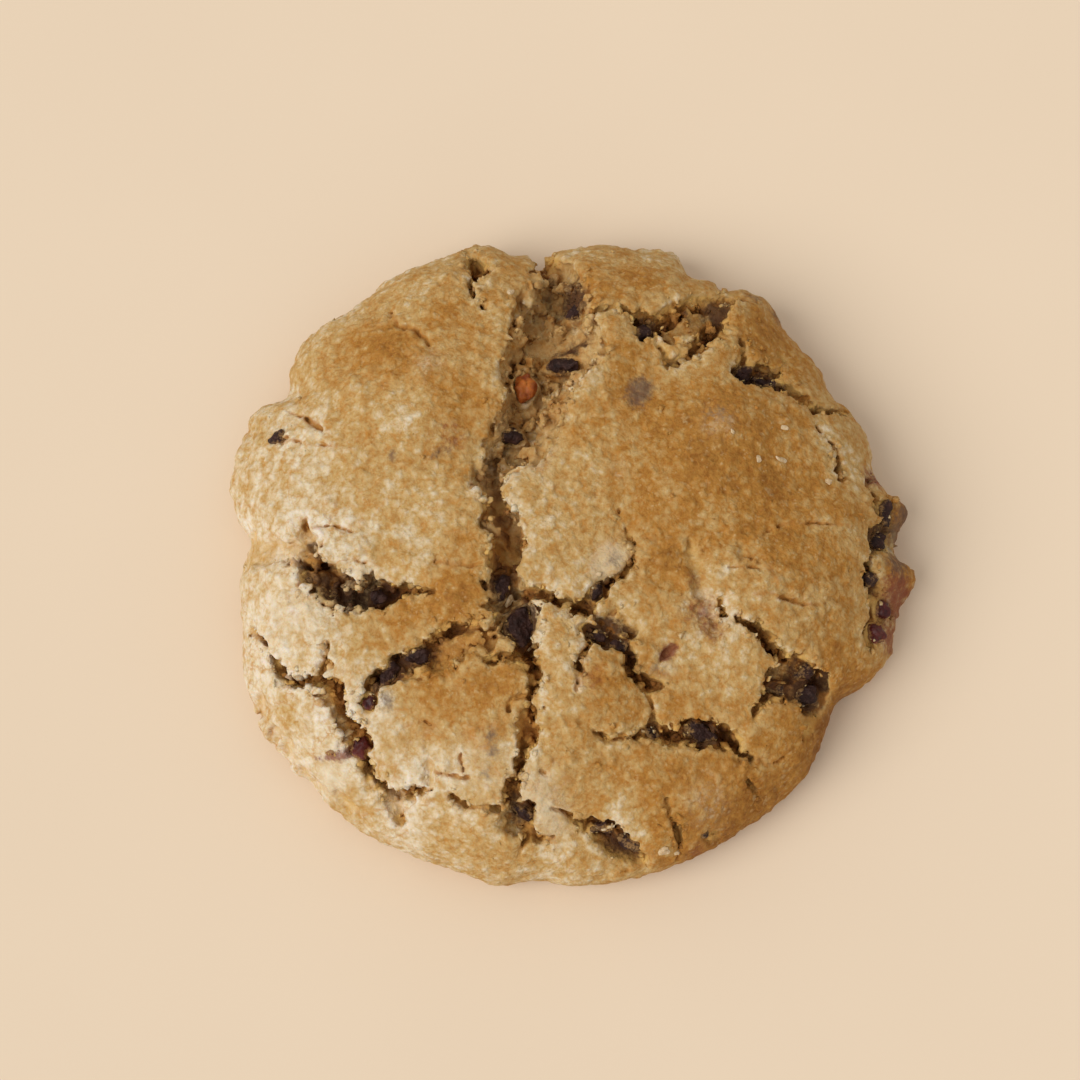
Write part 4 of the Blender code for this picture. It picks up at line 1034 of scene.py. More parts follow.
# Painted shade in the dough's creases and pits.
CREASE_SHADE_BROWN = rgb(170, 108, 36)
PIT_SHADE_BROWN = rgb(84, 46, 20)
BASE_BROWN = rgb(150, 98, 48)
STAINS = (  # (its mark on the dough, colour, the most of it)
    ("floury", rgb(214, 196, 164), 0.6),
    ("rosy", rgb(118, 54, 44), 0.8),
    ("grey", rgb(92, 72, 64), 0.75),
)
DARK_DUST, PALE_DUST = rgb(142, 96, 50), rgb(206, 164, 104)
DARK_CHOCOLATE = ((0.35, rgb(36, 18, 14)), (0.55, rgb(52, 28, 22)), (0.75, rgb(80, 50, 40)))
BLOOM = rgb(108, 84, 76)
RED_FRUIT = ((0.35, rgb(58, 16, 16)), (0.7, rgb(104, 38, 30)))
ORANGE_FRUIT = ((0.35, rgb(124, 54, 14)), (0.7, rgb(190, 108, 36)))
SUGAR = ((0.35, rgb(184, 154, 112)), (0.65, rgb(212, 188, 152)))
PALE_FLOOR = ((0.3, rgb(231, 210, 184)), (0.7, rgb(233, 212, 186)))

# The least and the most roughness of each skin.
CRUST_ROUGHNESS = (0.65, 0.85)
CHOCOLATE_ROUGHNESS = (0.50, 0.75)
FRUIT_ROUGHNESS = (0.38, 0.6)
SUGAR_ROUGHNESS = (0.35, 0.6)
FLOOR_ROUGHNESS = 0.9
FINE_GRAIN, COARSE_GRAIN = 0.55, 1.3  # of the crumb in the crust, in millimetres
CHOCOLATE_GRAIN, FRUIT_GRAIN = 0.8, 0.9


# ---------------------------------------------------------------------------------------------------------
# Materials.


class Nodes:
    """Adds nodes to a tree and joins them."""

    def __init__(self, tree):
        self.tree = tree

    def add(self, kind, values=None, **settings):
        """A node with its settings, its inputs set to values or joined to sockets."""
        made = self.tree.nodes.new(kind)
        for name, value in settings.items():
            setattr(made, name, value)
        for key, value in (values or {}).items():
            if isinstance(value, bpy.types.NodeSocket):
                self.tree.links.new(value, made.inputs[key])
            else:
                made.inputs[key].default_value = value
        return made

    def join(self, value, node, name):
        """Joins a socket to a node's input."""
        self.tree.links.new(value, node.inputs[name])

    def maths(self, operation, first, second=0.0, third=0.0):
        """What an operation makes of up to three values."""
        values = {0: first, 1: second, 2: third}
        return self.add("ShaderNodeMath", values, operation=operation).outputs[0]

    def off_middle(self, value, middle=0.5):
        """How far a value is over its middle."""
        return self.maths("SUBTRACT", value, middle)

    def uneven(self, value, unevenness, amount, middle=0.5):
        """A value with an amount of some unevenness added."""
        return self.maths("MULTIPLY_ADD", self.off_middle(unevenness, middle), amount, value)

    def vectors(self, operation, first, second):
        """A sum or difference of two vectors, or a vector scaled by a number."""
        key = "Scale" if operation == "SCALE" else 1
        return self.add("ShaderNodeVectorMath", {0: first, key: second}, operation=operation).outputs[0]

    def blend(self, share, first, second, way="MIX"):
        """A colour with a share of a second one mixed in, or multiplied by it."""
        values = {0: share, 6: first, 7: second}
        return self.add("ShaderNodeMix", values, data_type="RGBA", blend_type=way).outputs[2]

    def tint(self, colour, share, most, paint, way="MIX"):
        """A colour painted over by a share of another, which is at most the most."""
        return self.blend(self.maths("MULTIPLY", share, most), colour, paint, way)

    def ramp(self, value, stops):
        """A colour that a value picks from (place, colour) stops."""
        made = self.add("ShaderNodeValToRGB", {0: value})
        elements = made.color_ramp.elements
        while len(elements) < len(stops):
            elements.new(0.5)
        for element, (place, colour) in zip(elements, stops):
            element.position = place
            element.color = colour
        return made.outputs[0]

    def spread(self, value, low, high, to_low=0.0, to_high=1.0):
        """A value smoothly spread from one range to another."""
        values = {0: value, 1: low, 2: high, 3: to_low, 4: to_high}
        return self.add("ShaderNodeMapRange", values, interpolation_type="SMOOTHSTEP").outputs[0]

    def noise(self, place, size, detail=3.0, roughness=0.5):
        """Noise with features about size millimetres across."""
        values = {"Vector": place, "Scale": 1 / size, "Detail": detail, "Roughness": roughness}
        return self.add("ShaderNodeTexNoise", values).outputs[0]

    def attribute(self, name):
        """A mark that the mesh's points carry."""
        return self.add("ShaderNodeAttribute", attribute_name=name).outputs["Fac"]

    def crumb(self, group, place, grain):
        """The fine crumb's height, the painted highlight on its lump tops and its pores, at a grain in
        millimetres.
        """
        return self.add("ShaderNodeGroup", {"Place": place, "Grain": grain}, node_tree=group).outputs

    def bump(self, height, strength, distance, shader):
        """Gives the shader a height of this many millimetres as fine relief."""
        values = {"Height": height, "Strength": strength, "Distance": distance * MM}
        self.join(self.add("ShaderNodeBump", values).outputs[0], shader, "Normal")


def new_group(name, inputs, outputs):
    """A shader group, as nodes to build in, what it takes and what it gives. An input is given by its kind,
    or by its value where it is a number."""
    tree = bpy.data.node_groups.new(name, "ShaderNodeTree")
    for label, start in inputs.items():
        kind = start if isinstance(start, str) else "Float"
        made = tree.interface.new_socket(label, in_out="INPUT", socket_type=f"NodeSocket{kind}")
        if kind == "Float":
            made.default_value = start
    for label, kind in outputs.items():
        tree.interface.new_socket(label, in_out="OUTPUT", socket_type=f"NodeSocket{kind}")
    nodes = Nodes(tree)
    return nodes, nodes.add("NodeGroupInput").outputs, nodes.add("NodeGroupOutput")


def dust_group():
    """Crumb that clings in ragged patches where a surface is marked as dusty."""
    nodes, taken, given = new_group(
        "clinging dust", {"Place": "Vector", "Colour": "Color", "Amount": 0.6}, {"Colour": "Color"})
    place = taken["Place"]
    ragged = nodes.maths("MULTIPLY", nodes.off_middle(nodes.noise(place, 0.4, 4.0, 0.7)), 2.4)
    share = nodes.spread(nodes.maths("ADD", nodes.attribute("dusty"), ragged), 0.5, 1.1)
    crumb_colour = nodes.blend(nodes.noise(place, 0.5, 3.0, 0.6), DARK_DUST, PALE_DUST)
    nodes.join(nodes.tint(taken["Colour"], share, taken["Amount"], crumb_colour), given, "Colour")
    return nodes.tree


def crumb_group():
    """Fine crumb: its height, a pale painted highlight on the tops of its lumps and its dark pores. Its
    grain is given in millimetres.
    """
    given_names = ("Height", "Specks", "Pores")
    nodes, taken, given = new_group(
        "fine crumb", {"Place": "Vector", "Grain": 0.8}, dict.fromkeys(given_names, "Float"))
    place = nodes.vectors("SCALE", taken["Place"], nodes.maths("DIVIDE", 1.0, taken["Grain"]))
    wander = nodes.add("ShaderNodeTexNoise", {"Vector": place, "Scale": 0.9, "Detail": 1.0})
    bent = nodes.vectors("ADD", place, nodes.vectors("SCALE", wander.outputs["Color"], 1.1))
    cells = nodes.add("ShaderNodeTexVoronoi", {"Vector": bent, "Scale": 1.0}, feature="F1")
    rounded = nodes.spread(cells.outputs["Distance"], 0.70, 0.05)
    height = nodes.maths("MULTIPLY_ADD", rounded, 0.45, 0.155)
    height = nodes.maths("MULTIPLY_ADD", nodes.noise(place, 0.45, 2.0, 0.6), 0.55, height)
    # Painted highlight: pale near a cell's middle, which is the top of its lump.
    lit_tops = nodes.maths("MULTIPLY", nodes.spread(cells.outputs["Distance"], 0.45, 0.2),
                         nodes.spread(nodes.noise(place, 2.1, 1.0, 0.6), 0.52, 0.66))
    pores = nodes.spread(nodes.noise(bent, 1.3, 3.0, 0.65), 0.40, 0.30)
    for name, value in zip(given_names, (height, lit_tops, pores)):
        nodes.join(value, given, name)
    return nodes.tree


def crazing_group():
    """Fine cracks in a baked skin: 1 on a line and 0 off it. Size and width are given in millimetres."""
    nodes, taken, given = new_group(
        "fine crazing", {"Place": "Vector", "Size": 3.0, "Width": 0.12, "Share": 0.5}, {"Line": "Float"})
    place = taken["Place"]
    values = {"Vector": place, "Scale": 0.45, "Detail": 3.0, "Roughness": 0.65}
    wander = nodes.add("ShaderNodeTexNoise", values).outputs["Color"]
    bend = nodes.vectors("SCALE", nodes.vectors("SUBTRACT", wander, (0.5, 0.5, 0.5)), 3.4)
    bent = nodes.vectors("ADD", place, bend)
    scale = nodes.maths("DIVIDE", 1.0, taken["Size"])
    edge = nodes.add("ShaderNodeTexVoronoi", {"Vector": bent, "Scale": scale}, feature="DISTANCE_TO_EDGE")
    away = nodes.maths("MULTIPLY", edge.outputs["Distance"], taken["Size"])
    ragged = nodes.maths("MULTIPLY_ADD", nodes.noise(place, 0.6, 3.0, 0.6), 0.24, -0.12)
    line = nodes.spread(nodes.maths("ADD", away, ragged), taken["Width"], 0.0)
    patch = nodes.noise(place, 2.4, 3.0, 0.6)
    shown = nodes.spread(patch, nodes.maths("SUBTRACT", 0.90, taken["Share"]),
                         nodes.maths("SUBTRACT", 1.15, taken["Share"]))
    nodes.join(nodes.maths("MULTIPLY", line, shown), given, "Line")
    return nodes.tree


def new_material(name, settings):
    """A material, its nodes, its shader with its settings and the place on the object in millimetres."""
    material = bpy.data.materials.new(name)
    material.use_nodes = True
    nodes = Nodes(material.node_tree)
    shader = material.node_tree.nodes["Principled BSDF"]
    for key, value in settings.items():
        shader.inputs[key].default_value = value
    where = nodes.add("ShaderNodeTexCoord").outputs["Object"]
    place = nodes.add("ShaderNodeMapping", {"Vector": where, "Scale": (1 / MM,) * 3}).outputs[0]
    return material, nodes, shader, place


def dough_textures(nodes, place, crumb):
    """The unevenness that the dough's colours and its relief share, from fine to broad."""
    return {
        "fine": nodes.crumb(crumb, place, FINE_GRAIN),
        "coarse": nodes.crumb(crumb, place, COARSE_GRAIN),
        "tiny": nodes.noise(place, 0.45, 2.0, 0.6),
        "small": nodes.noise(place, 1.1, 3.0, 0.6),
        "mottle": nodes.noise(place, 2.4, 2.0, 0.5),
        "broad": nodes.noise(place, 8.0, 2.0, 0.6),
    }


def crust_colour(nodes, place, texture, crazing):
    """The baked crust: brown where it is marked as baked, a mark that holds painted shade too, mottled,
    flecked, pored and crazed, with painted shade in the crumb's crevices and painted highlights on its lump
    tops.
    """
    fine, coarse = texture["fine"], texture["coarse"]
    bake = nodes.attribute("bake")
    # The last two are painted shade and highlight: the crust is browner where the crumb's relief is low and
    # paler where it is high.
    for unevenness, middle, amount in (
            (texture["broad"], 0.5, 0.5), (texture["mottle"], 0.5, 0.52), (texture["small"], 0.5, 0.26),
            (texture["tiny"], 0.5, 0.10), (fine["Height"], 0.58, -0.10), (coarse["Height"], 0.58, -0.34)):
        bake = nodes.uneven(bake, unevenness, amount, middle)
    bake = nodes.maths("MULTIPLY_ADD", nodes.attribute("lip"), -0.14, bake)
    colour = nodes.ramp(bake, CRUST)
    flecks = nodes.spread(nodes.noise(place, 1.1, 1.0, 0.4), 0.58, 0.74)
    flecks = nodes.maths("MULTIPLY", flecks, nodes.spread(texture["mottle"], 0.42, 0.6))
    colour = nodes.tint(colour, flecks, 0.28, PALE_FLECK)
    # Painted highlight on the tops of the fine crumb's lumps.
    colour = nodes.tint(colour, fine["Specks"], 0.14, CRUMB_LIT_TOP)
    # Painted shade darkens the crumb's crevices, where its height is low; the pores are the crumb's own.
    for crumbs, pores, crevices in ((fine, 0.25, 0.2), (coarse, 0.5, 0.42)):
        colour = nodes.tint(colour, crumbs["Pores"], pores, GOLDEN_PORE_AND_CREVICE_SHADE, "MULTIPLY")
        share = nodes.spread(crumbs["Height"], 0.50, 0.36, 0.0, crevices)
        colour = nodes.blend(share, colour, GOLDEN_PORE_AND_CREVICE_SHADE, "MULTIPLY")
    values = {"Place": place, "Size": 3.6, "Width": 0.26, "Share": 0.50}
    lines = nodes.add("ShaderNodeGroup", values, node_tree=crazing).outputs[0]
    crust_only = nodes.spread(nodes.attribute("sunk"), 0.10, 0.0)
    return nodes.tint(colour, nodes.maths("MULTIPLY", lines, crust_only), 0.6, CRAZED_LINE)


def crack_colour(nodes, texture):
    """The torn crumb in the cracks, browner with depth as moister crumb and as painted shade, and paler in
    the wide ones.
    """
    depth = nodes.uneven(nodes.attribute("sunk"), texture["mottle"], 0.6)
    narrow, wide = nodes.ramp(depth, NARROW_CRACK), nodes.ramp(depth, WIDE_CRACK)
    return nodes.blend(nodes.attribute("valley"), narrow, wide)


def darken_with_chocolate_and_shade(nodes, colour, texture):
    """Chocolate and painted shade darkening the crumb in ragged patches."""
    marked = nodes.attribute("smeared")
    ragged = nodes.uneven(nodes.uneven(marked, texture["small"], 1.3), texture["tiny"], 0.6)
    ragged = nodes.spread(ragged, 0.12, 0.95, 0.0, 0.9)
    return nodes.tint(colour, ragged, nodes.spread(marked, 0.0, 0.15), CHOCOLATE_AND_SHADE_DARK)


def stain(nodes, colour, texture):
    """Floury, rosy and grey places with ragged edges."""
    ragged = nodes.maths("ADD", nodes.maths("MULTIPLY", nodes.off_middle(texture["small"]), 1.6),
                         nodes.maths("MULTIPLY", nodes.off_middle(texture["tiny"]), 0.9))
    for name, paint, most in STAINS:
        amount = nodes.attribute(name)
        edge = nodes.maths("MULTIPLY", ragged, nodes.spread(amount, 0.0, 0.3))
        share = nodes.spread(nodes.maths("ADD", amount, edge), 0.0, 1.1, 0.0, most)
        colour = nodes.blend(share, colour, paint)
    return colour


def dough_material(crumb, crazing):
    """Dry crust over torn crumb."""
    material, nodes, shader, place = new_material("baked dough", {
        "Subsurface Weight": 0.2, "Subsurface Radius": (1.0, 0.55, 0.25), "Subsurface Scale": 0.9 * MM,
        "Specular IOR Level": 0.22})
    texture = dough_textures(nodes, place, crumb)
    colour = crust_colour(nodes, place, texture, crazing)
    colour = nodes.blend(nodes.attribute("torn"), colour, crack_colour(nodes, texture))
    colour = nodes.tint(colour, nodes.attribute("line"), 0.65, HAIRLINE_BROWN)
    # Painted shade, with chocolate, darkens the crumb in ragged patches.
    colour = darken_with_chocolate_and_shade(nodes, colour, texture)
    # Painted shade in creases and pits, where little open air lies off the skin.
    colour = nodes.tint(colour, nodes.spread(nodes.attribute("crease"), 0.28, 0.85), 0.5, CREASE_SHADE_BROWN)
    colour = nodes.tint(colour, nodes.spread(nodes.attribute("pit"), 0.7, 1.0), 0.40, PIT_SHADE_BROWN)
    colour = stain(nodes, colour, texture)
    colour = nodes.tint(colour, nodes.attribute("foot"), 0.6, BASE_BROWN)
    nodes.join(colour, shader, "Base Color")
    nodes.join(nodes.spread(texture["small"], 0.3, 0.7, *CRUST_ROUGHNESS), shader, "Roughness")
    height = nodes.maths("MULTIPLY", texture["fine"]["Height"], 0.32)
    height = nodes.maths("MULTIPLY_ADD", texture["coarse"]["Height"], 1.4, height)
    nodes.bump(height, 0.8, 0.26, shader)
    return material


def chocolate_material(crumb, dust):
    """Dull dark chocolate with a little bloom, dusted with crumb."""
    material, nodes, shader, place = new_material("dark chocolate", {"Specular IOR Level": 0.25})
    small = nodes.noise(place, 0.7, 4.0, 0.65)
    colour = nodes.ramp(nodes.noise(place, 2.0, 4.0, 0.65), DARK_CHOCOLATE)
    colour = nodes.blend(nodes.spread(small, 0.50, 0.68, 0.0, 0.35), colour, BLOOM)
    colour = nodes.add("ShaderNodeGroup", {"Place": place, "Colour": colour}, node_tree=dust).outputs[0]
    nodes.join(colour, shader, "Base Color")
    nodes.join(nodes.spread(small, 0.3, 0.7, *CHOCOLATE_ROUGHNESS), shader, "Roughness")
    fine = nodes.crumb(crumb, place, CHOCOLATE_GRAIN)["Height"]
    nodes.bump(nodes.maths("MULTIPLY_ADD", small, 1.6, fine), 0.9, 0.3, shader)
    return material


def fruit_material(name, crumb, dust, colours):
    """Dried fruit, half shiny, dusted with crumb."""
    material, nodes, shader, place = new_material(name, {
        "Subsurface Weight": 0.3, "Subsurface Radius": (1.0, 0.3, 0.15), "Subsurface Scale": 1.0 * MM,
        "Specular IOR Level": 0.3})
    broad = nodes.noise(place, 1.8, 3.0, 0.6)
    colour = nodes.ramp(broad, colours)
    colour = nodes.add("ShaderNodeGroup", {"Place": place, "Colour": colour}, node_tree=dust).outputs[0]
    nodes.join(colour, shader, "Base Color")
    nodes.join(nodes.spread(broad, 0.3, 0.7, *FRUIT_ROUGHNESS), shader, "Roughness")
    fine = nodes.crumb(crumb, place, FRUIT_GRAIN)["Height"]
    nodes.bump(fine, 0.7, 0.25, shader)
    return material


def sugar_material():
    """Off-white sugar and ivory crumb."""
    material, nodes, shader, place = new_material("sugar", {
        "Subsurface Weight": 0.4, "Subsurface Radius": (1.0, 0.8, 0.6), "Subsurface Scale": 0.6 * MM})
    patches = nodes.noise(place, 0.5, 3.0, 0.6)
    nodes.join(nodes.ramp(patches, SUGAR), shader, "Base Color")
    nodes.join(nodes.spread(patches, 0.3, 0.7, *SUGAR_ROUGHNESS), shader, "Roughness")
    return material


def floor_material():
    """A plain pale floor."""
    material, nodes, shader, place = new_material(
        "pale floor", {"Roughness": FLOOR_ROUGHNESS, "Specular IOR Level": 0.1})
    nodes.join(nodes.ramp(nodes.noise(place, 60.0, 2.0, 0.5), PALE_FLOOR), shader, "Base Color")
    return material


# ---------------------------------------------------------------------------------------------------------
# Chips and fruit.


def divided(bm, longest):
    """Cuts edges that are longer than a length in half, a few times over, and keeps the faces triangles."""
    for _ in range(5):
        long = [edge for edge in bm.edges if edge.calc_length() > longest]
        if long:
            bmesh.ops.subdivide_edges(bm, edges=long, cuts=1)
            bmesh.ops.triangulate(bm, faces=[face for face in bm.faces if len(face.verts) > 3])


def worked_piece(name, node, smoothing, dents, dough_grid):
    """A packed chip or fruit with rounded edges and a rough skin, in the same place. Each dent is a size
    and an amount. Near the dough its skin is marked as dusty with crumb."""
    bm = bmesh.new()
    bm.from_mesh(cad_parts[node].data)
    bmesh.ops.remove_doubles(bm, verts=bm.verts, dist=0.001 * MM)
    divided(bm, LONGEST_EDGE * MM)
    axes = dict.fromkeys(("use_axis_x", "use_axis_y", "use_axis_z"), True)
    for _ in range(smoothing):
        bmesh.ops.smooth_vert(bm, verts=bm.verts, factor=0.5, **axes)
    bm.normal_update()
    place = np.array([vert.co[:] for vert in bm.verts], np.float32) / MM
    rise = sum(amount * (lumps(place, size, seed=81 + number) - DENT_MEAN)
               for number, (size, amount) in enumerate(dents))
    for vert, step in zip(bm.verts, rise):
        vert.co += vert.normal * float(step) * MM
    mesh = mesh_from(bm, name)
    mesh.shade_smooth()
    clear = in_space(dough_grid[0], points_of(mesh), dough_grid[1])
    paint(mesh, "dusty", ease(clear, DUSTY_REACH, 0.0))
    return in_scene(name, mesh)


# ---------------------------------------------------------------------------------------------------------
# Crumbs.


def crumb_kinds():
    """A few small irregular lumps, 1 mm across, in one hidden collection."""
    kinds = bpy.data.collections.new("crumb kinds")
    for number in range(CRUMB_KINDS):
        bm = bmesh.new()
        bmesh.ops.create_icosphere(bm, subdivisions=1, radius=0.5 * MM)
        place = np.array([vert.co[:] for vert in bm.verts], np.float32) / MM
        for axis in range(3):
            shift = noise(place, 0.45, seed=200 + 3 * number + axis) * 0.42
            for vert, step in zip(bm.verts, shift):
                vert.co[axis] += float(step) * MM
        mesh = mesh_from(bm, f"crumb kind {number}")
        mesh.shade_smooth()
        kinds.objects.link(bpy.data.objects.new(mesh.name, mesh))
    return kinds


def crumb_tree(kinds, material):
    """Strews crumbs over a mesh where its attribute is high, most of them small."""
    tree = bpy.data.node_groups.new("strewn crumbs", "GeometryNodeTree")
    tree.interface.new_socket("Geometry", in_out="INPUT", socket_type="NodeSocketGeometry")
    inputs = {}
    for name, kind in (("Where", "Float"), ("Crumbs per square metre", "Float"), ("Smallest", "Float"),
                       ("Largest", "Float"), ("Seed", "Int")):
        inputs[name] = tree.interface.new_socket(name, in_out="INPUT", socket_type=f"NodeSocket{kind}")
    tree.interface.new_socket("Geometry", in_out="OUTPUT", socket_type="NodeSocketGeometry")
    nodes = Nodes(tree)
    taken = nodes.add("NodeGroupInput").outputs
    given = nodes.add("NodeGroupOutput")
    density = nodes.maths("MULTIPLY", taken["Where"], taken["Crumbs per square metre"])
    points = nodes.add("GeometryNodeDistributePointsOnFaces",
                       {"Mesh": taken["Geometry"], "Density": density, "Seed": taken["Seed"]})
    kind = nodes.add("GeometryNodeCollectionInfo",
                     {"Collection": kinds, "Separate Children": True, "Reset Children": True})
    turn = nodes.add("FunctionNodeRandomValue", {"Max": (math.tau,) * 3, "Seed": 5},
                     data_type="FLOAT_VECTOR")
    share = nodes.add("FunctionNodeRandomValue", {"Seed": 6}, data_type="FLOAT").outputs[1]
    growth = nodes.maths("SUBTRACT", taken["Largest"], taken["Smallest"])
    size = nodes.maths("MULTIPLY_ADD", nodes.maths("POWER", share, MOSTLY_SMALL), growth, taken["Smallest"])
    shape = nodes.add("FunctionNodeRandomValue", {"Min": (0.5,) * 3, "Max": (1.4,) * 3, "Seed": 7},
                      data_type="FLOAT_VECTOR")
    strewn = nodes.add("GeometryNodeInstanceOnPoints", {
        "Points": points.outputs["Points"], "Instance": kind.outputs[0], "Pick Instance": True,
        "Rotation": turn.outputs[0], "Scale": nodes.vectors("SCALE", shape.outputs[0], size)})
    whole = nodes.add("GeometryNodeRealizeInstances", {"Geometry": strewn.outputs[0]})
    coated = nodes.add("GeometryNodeSetMaterial", {"Geometry": whole.outputs[0], "Material": material})
    nodes.join(coated.outputs[0], given, 0)
    return tree, inputs


def strew(name, ground, crumbling, each_square, largest, seed):
    """A piece made of crumbs on the ground's mesh, as many as its attribute says."""
    tree, inputs = crumbling
    made = in_scene(name, ground.data.copy())
    modifier = made.modifiers.new("crumbs", "NODES")
    modifier.node_group = tree
    values = {"Crumbs per square metre": each_square / MM ** 2, "Smallest": SMALLEST_CRUMB,
              "Largest": largest, "Seed": seed}
    for key, value in values.items():
        modifier[inputs[key].identifier] = value
    modifier[inputs["Where"].identifier + "_use_attribute"] = True
    modifier[inputs["Where"].identifier + "_attribute_name"] = "crumbly"
    return settle(made)


def joined_ground(name, pieces):
    """One mesh of several pieces, with the attributes that crumbs on them need."""
    bm = bmesh.new()
    for piece in pieces:
        bm.from_mesh(piece.data)
    mesh = mesh_from(bm, name)
    place = points_of(mesh)
    dusty = np.empty(len(place), np.float32)
    mesh.attributes["dusty"].data.foreach_get("value", dusty)
    patches = dusty * ease(noise(place, 2.0, seed=97), -0.3, 0.4)
    for attribute, value in (("crumbly", patches), ("bake", 0.45), ("sunk", 0.45), ("valley", 1.0)):
        paint(mesh, attribute, np.broadcast_to(value, len(place)))
    return in_scene(name, mesh)


def rough_block(number):
    """A block about 1 across with worn edges and corners."""
    grain = bmesh.new()
    bmesh.ops.create_cube(grain, size=1.0)
    bmesh.ops.bevel(grain, geom=grain.edges[:], offset=0.16, segments=1, affect="EDGES")
    bmesh.ops.subdivide_edges(grain, edges=grain.edges[:], cuts=1, use_grid_fill=True)
    place = np.array([vert.co[:] for vert in grain.verts], np.float32)
    for vert in grain.verts:
        vert.co *= 0.55 + 0.25 / max(vert.co.length, 0.3)
    for axis in range(3):
        for vert, step in zip(grain.verts, 0.24 * noise(place, 0.5, seed=300 + 3 * number + axis)):
            vert.co[axis] += float(step)
    return grain


def sugar_grains(dough):
    """Rough blocks of sugar and ivory crumb, half sunk in the crust."""
    whole = bmesh.new()
    whole.from_mesh(dough.data)
    surface = BVHTree.FromBMesh(whole)
    whole.clear()
    for number, (x, y, length, width, turn) in enumerate(SUGAR_GRAINS):
        above = Vector((x - MIDDLE[0], y - MIDDLE[1], 2 * HEIGHT)) * MM
        foot, normal, _, _ = surface.ray_cast(above, Vector((0, 0, -1)))
        if foot is None:
            foot, normal, _, _ = surface.find_nearest(above)
        size = Matrix.Diagonal((length, width, GRAIN_HEIGHT * width, 1)) * MM
        size[3][3] = 1
        lie = normal.to_track_quat("Z", "Y").to_matrix().to_4x4()
        spin = Matrix.Rotation(math.radians(turn), 4, "Z")
        grain = rough_block(number)
        bmesh.ops.transform(grain, matrix=Matrix.Translation(foot) @ lie @ spin @ size, verts=grain.verts)
        mesh = mesh_from(grain, "grain")
        whole.from_mesh(mesh)
        bpy.data.meshes.remove(mesh)
    bmesh.ops.recalc_face_normals(whole, faces=whole.faces)
    return in_scene("sugar_grains", mesh_from(whole, "sugar_grains"))


# ---------------------------------------------------------------------------------------------------------
# Stage.

ELEVATION = math.radians(76)  # the camera looks this far down on the cookie
PIXEL = 0.14  # mm on the cookie for each pixel of the frame
FRAME_PIXELS = 1080
TARGET_PIXEL = (573.0, 554.0)  # where the point that is looked at stands in the frame
TARGET_HEIGHT = 10.0  # that point is this far above the middle of the base
LENS = 85.0
SENSOR = 36.0
WINDOW_PLACE = (-1.1, -0.5, 1.25)  # metres; the light comes from above the near left
WINDOW_SOFTNESS = 45.0  # degrees across
WINDOW_POWER = 1.88
WINDOW_COLOUR = (1.0, 0.985, 0.96)
ROOM_COLOUR = (1.0, 0.985, 0.965, 1)
ROOM_POWER = 0.58
FLOOR_REACH = 3.0  # metres, like the window's place


def make_camera():
    """The photographer's camera, turned so that the cookie's middle stands where the photo has it."""
    data = bpy.data.cameras.new("camera")
    data.lens = LENS
    data.sensor_width = SENSOR
    data.clip_start = 0.01
    camera = in_scene("camera", data)
    back = Vector((0, -math.cos(ELEVATION), math.sin(ELEVATION)))
    right = Vector((1, 0, 0))
    up = back.cross(right)
    distance = LENS / SENSOR * FRAME_PIXELS * PIXEL
    half = FRAME_PIXELS / 2
    aside = right * (half - TARGET_PIXEL[0]) * PIXEL + up * (TARGET_PIXEL[1] - half) * PIXEL
    place = Vector((-MIDDLE[0], -MIDDLE[1], TARGET_HEIGHT)) + back * distance + aside
    camera.location = place * MM
    camera.rotation_euler = (math.pi / 2 - ELEVATION, 0, 0)
    bpy.context.scene.camera = camera


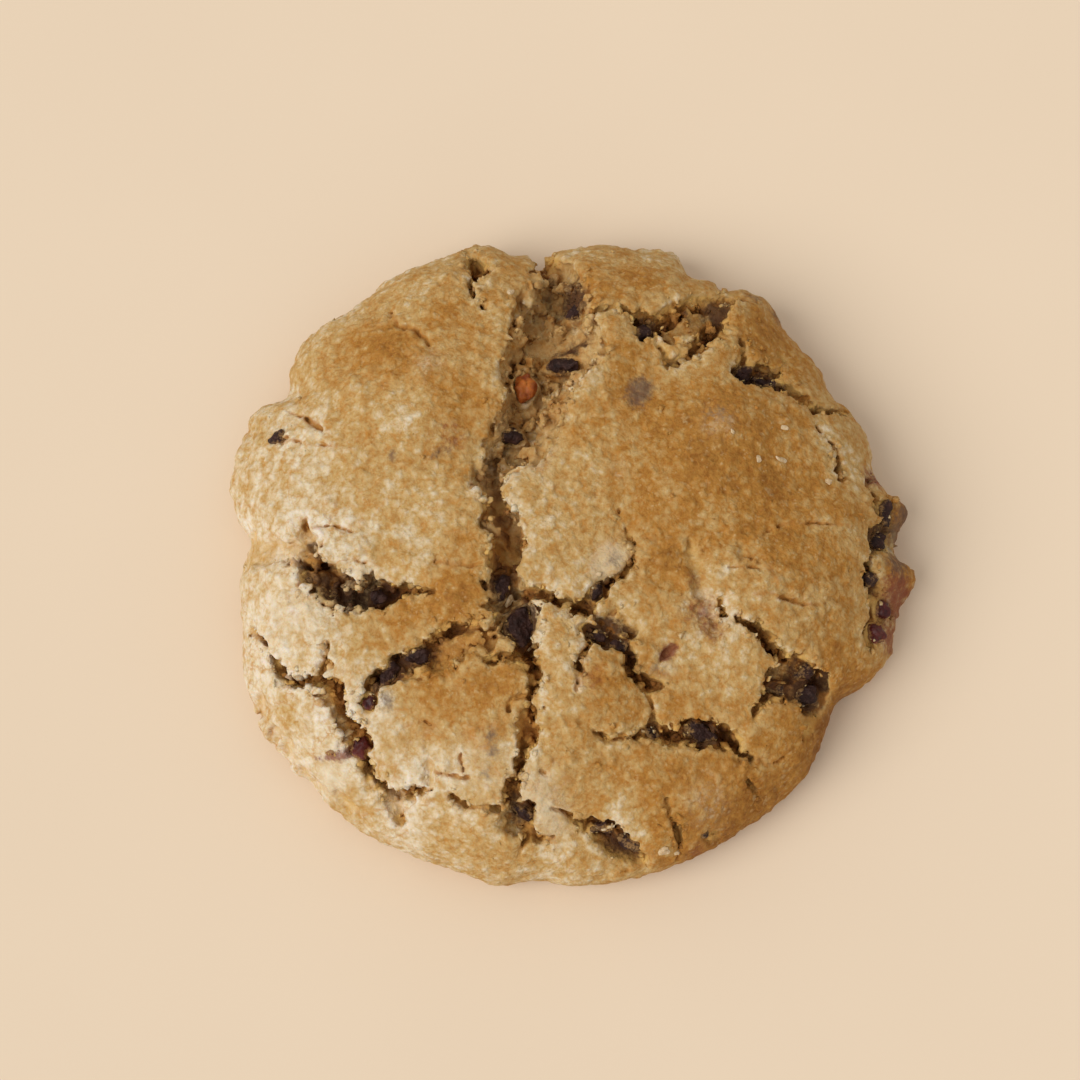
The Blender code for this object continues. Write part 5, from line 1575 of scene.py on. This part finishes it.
def make_stage():
    """A pale floor, the soft light of a window and an even light from the room."""
    floor = bmesh.new()
    bmesh.ops.create_grid(floor, x_segments=1, y_segments=1, size=FLOOR_REACH)
    made = in_scene("floor", mesh_from(floor, "floor"))
    made.data.materials.append(floor_material())
    data = bpy.data.lights.new("window", "SUN")
    data.angle = math.radians(WINDOW_SOFTNESS)
    data.energy = WINDOW_POWER
    data.color = WINDOW_COLOUR
    light = in_scene("window", data)
    light.location = WINDOW_PLACE
    light.rotation_euler = (-Vector(WINDOW_PLACE)).to_track_quat("-Z", "Y").to_euler()
    world = bpy.data.worlds.new("room")
    world.use_nodes = True
    background = world.node_tree.nodes["Background"]
    background.inputs["Color"].default_value = ROOM_COLOUR
    background.inputs["Strength"].default_value = ROOM_POWER
    bpy.context.scene.world = world
    bpy.context.scene.view_settings.view_transform = "Standard"


# ---------------------------------------------------------------------------------------------------------
# The whole cookie.


def finish_piece(piece, material, slot, *nodes):
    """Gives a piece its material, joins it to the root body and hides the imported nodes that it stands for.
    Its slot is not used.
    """
    piece.data.materials.clear()
    piece.data.materials.append(material)
    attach(piece, "root")
    if nodes:
        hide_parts(*nodes)


def bed_chips_and_fruit(crumb, dough_grid):
    """The chips and the fruit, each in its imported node's place."""
    dust = dust_group()
    chocolate = chocolate_material(crumb, dust)
    red = fruit_material("wine red fruit", crumb, dust, RED_FRUIT)
    orange = fruit_material("orange fruit", crumb, dust, ORANGE_FRUIT)
    bedded = []
    for node in sorted(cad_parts):
        kind, _, number = node.partition("_")
        if kind == "chip":
            piece = worked_piece(f"chocolate_{number}", node, CHIP_SMOOTHING, CHIP_DENTS, dough_grid)
            finish_piece(piece, chocolate, "dark_chocolate", node)
            bedded.append(piece)
        elif kind == "fruit":
            piece = worked_piece(f"dried_fruit_{number}", node, FRUIT_SMOOTHING, FRUIT_DENTS, dough_grid)
            flesh, slot = (orange, "orange_fruit") if number == "01" else (red, "red_fruit")
            finish_piece(piece, flesh, slot, node)
            bedded.append(piece)
    return bedded


def main():
    """Sets the stage and bakes the cookie."""
    make_camera()
    make_stage()
    crumb = crumb_group()
    dough, dough_grid = make_dough()
    baked = dough_material(crumb, crazing_group())
    finish_piece(dough, baked, "baked_dough", "dough")
    crumbling = crumb_tree(crumb_kinds(), baked)
    crumbs = strew("loose_crumbs", dough, crumbling, CRUMBS_EACH_SQUARE, LARGEST_CRUMB, seed=3)
    finish_piece(crumbs, baked, "baked_dough")
    finish_piece(sugar_grains(dough), sugar_material(), "baked_dough")
    ground = joined_ground("bedded pieces", bed_chips_and_fruit(crumb, dough_grid))
    clinging = strew("clinging_crumbs", ground, crumbling, CLINGING_EACH_SQUARE, CLINGING_LARGEST, seed=4)
    bpy.data.objects.remove(ground)
    finish_piece(clinging, baked, "baked_dough")


main()
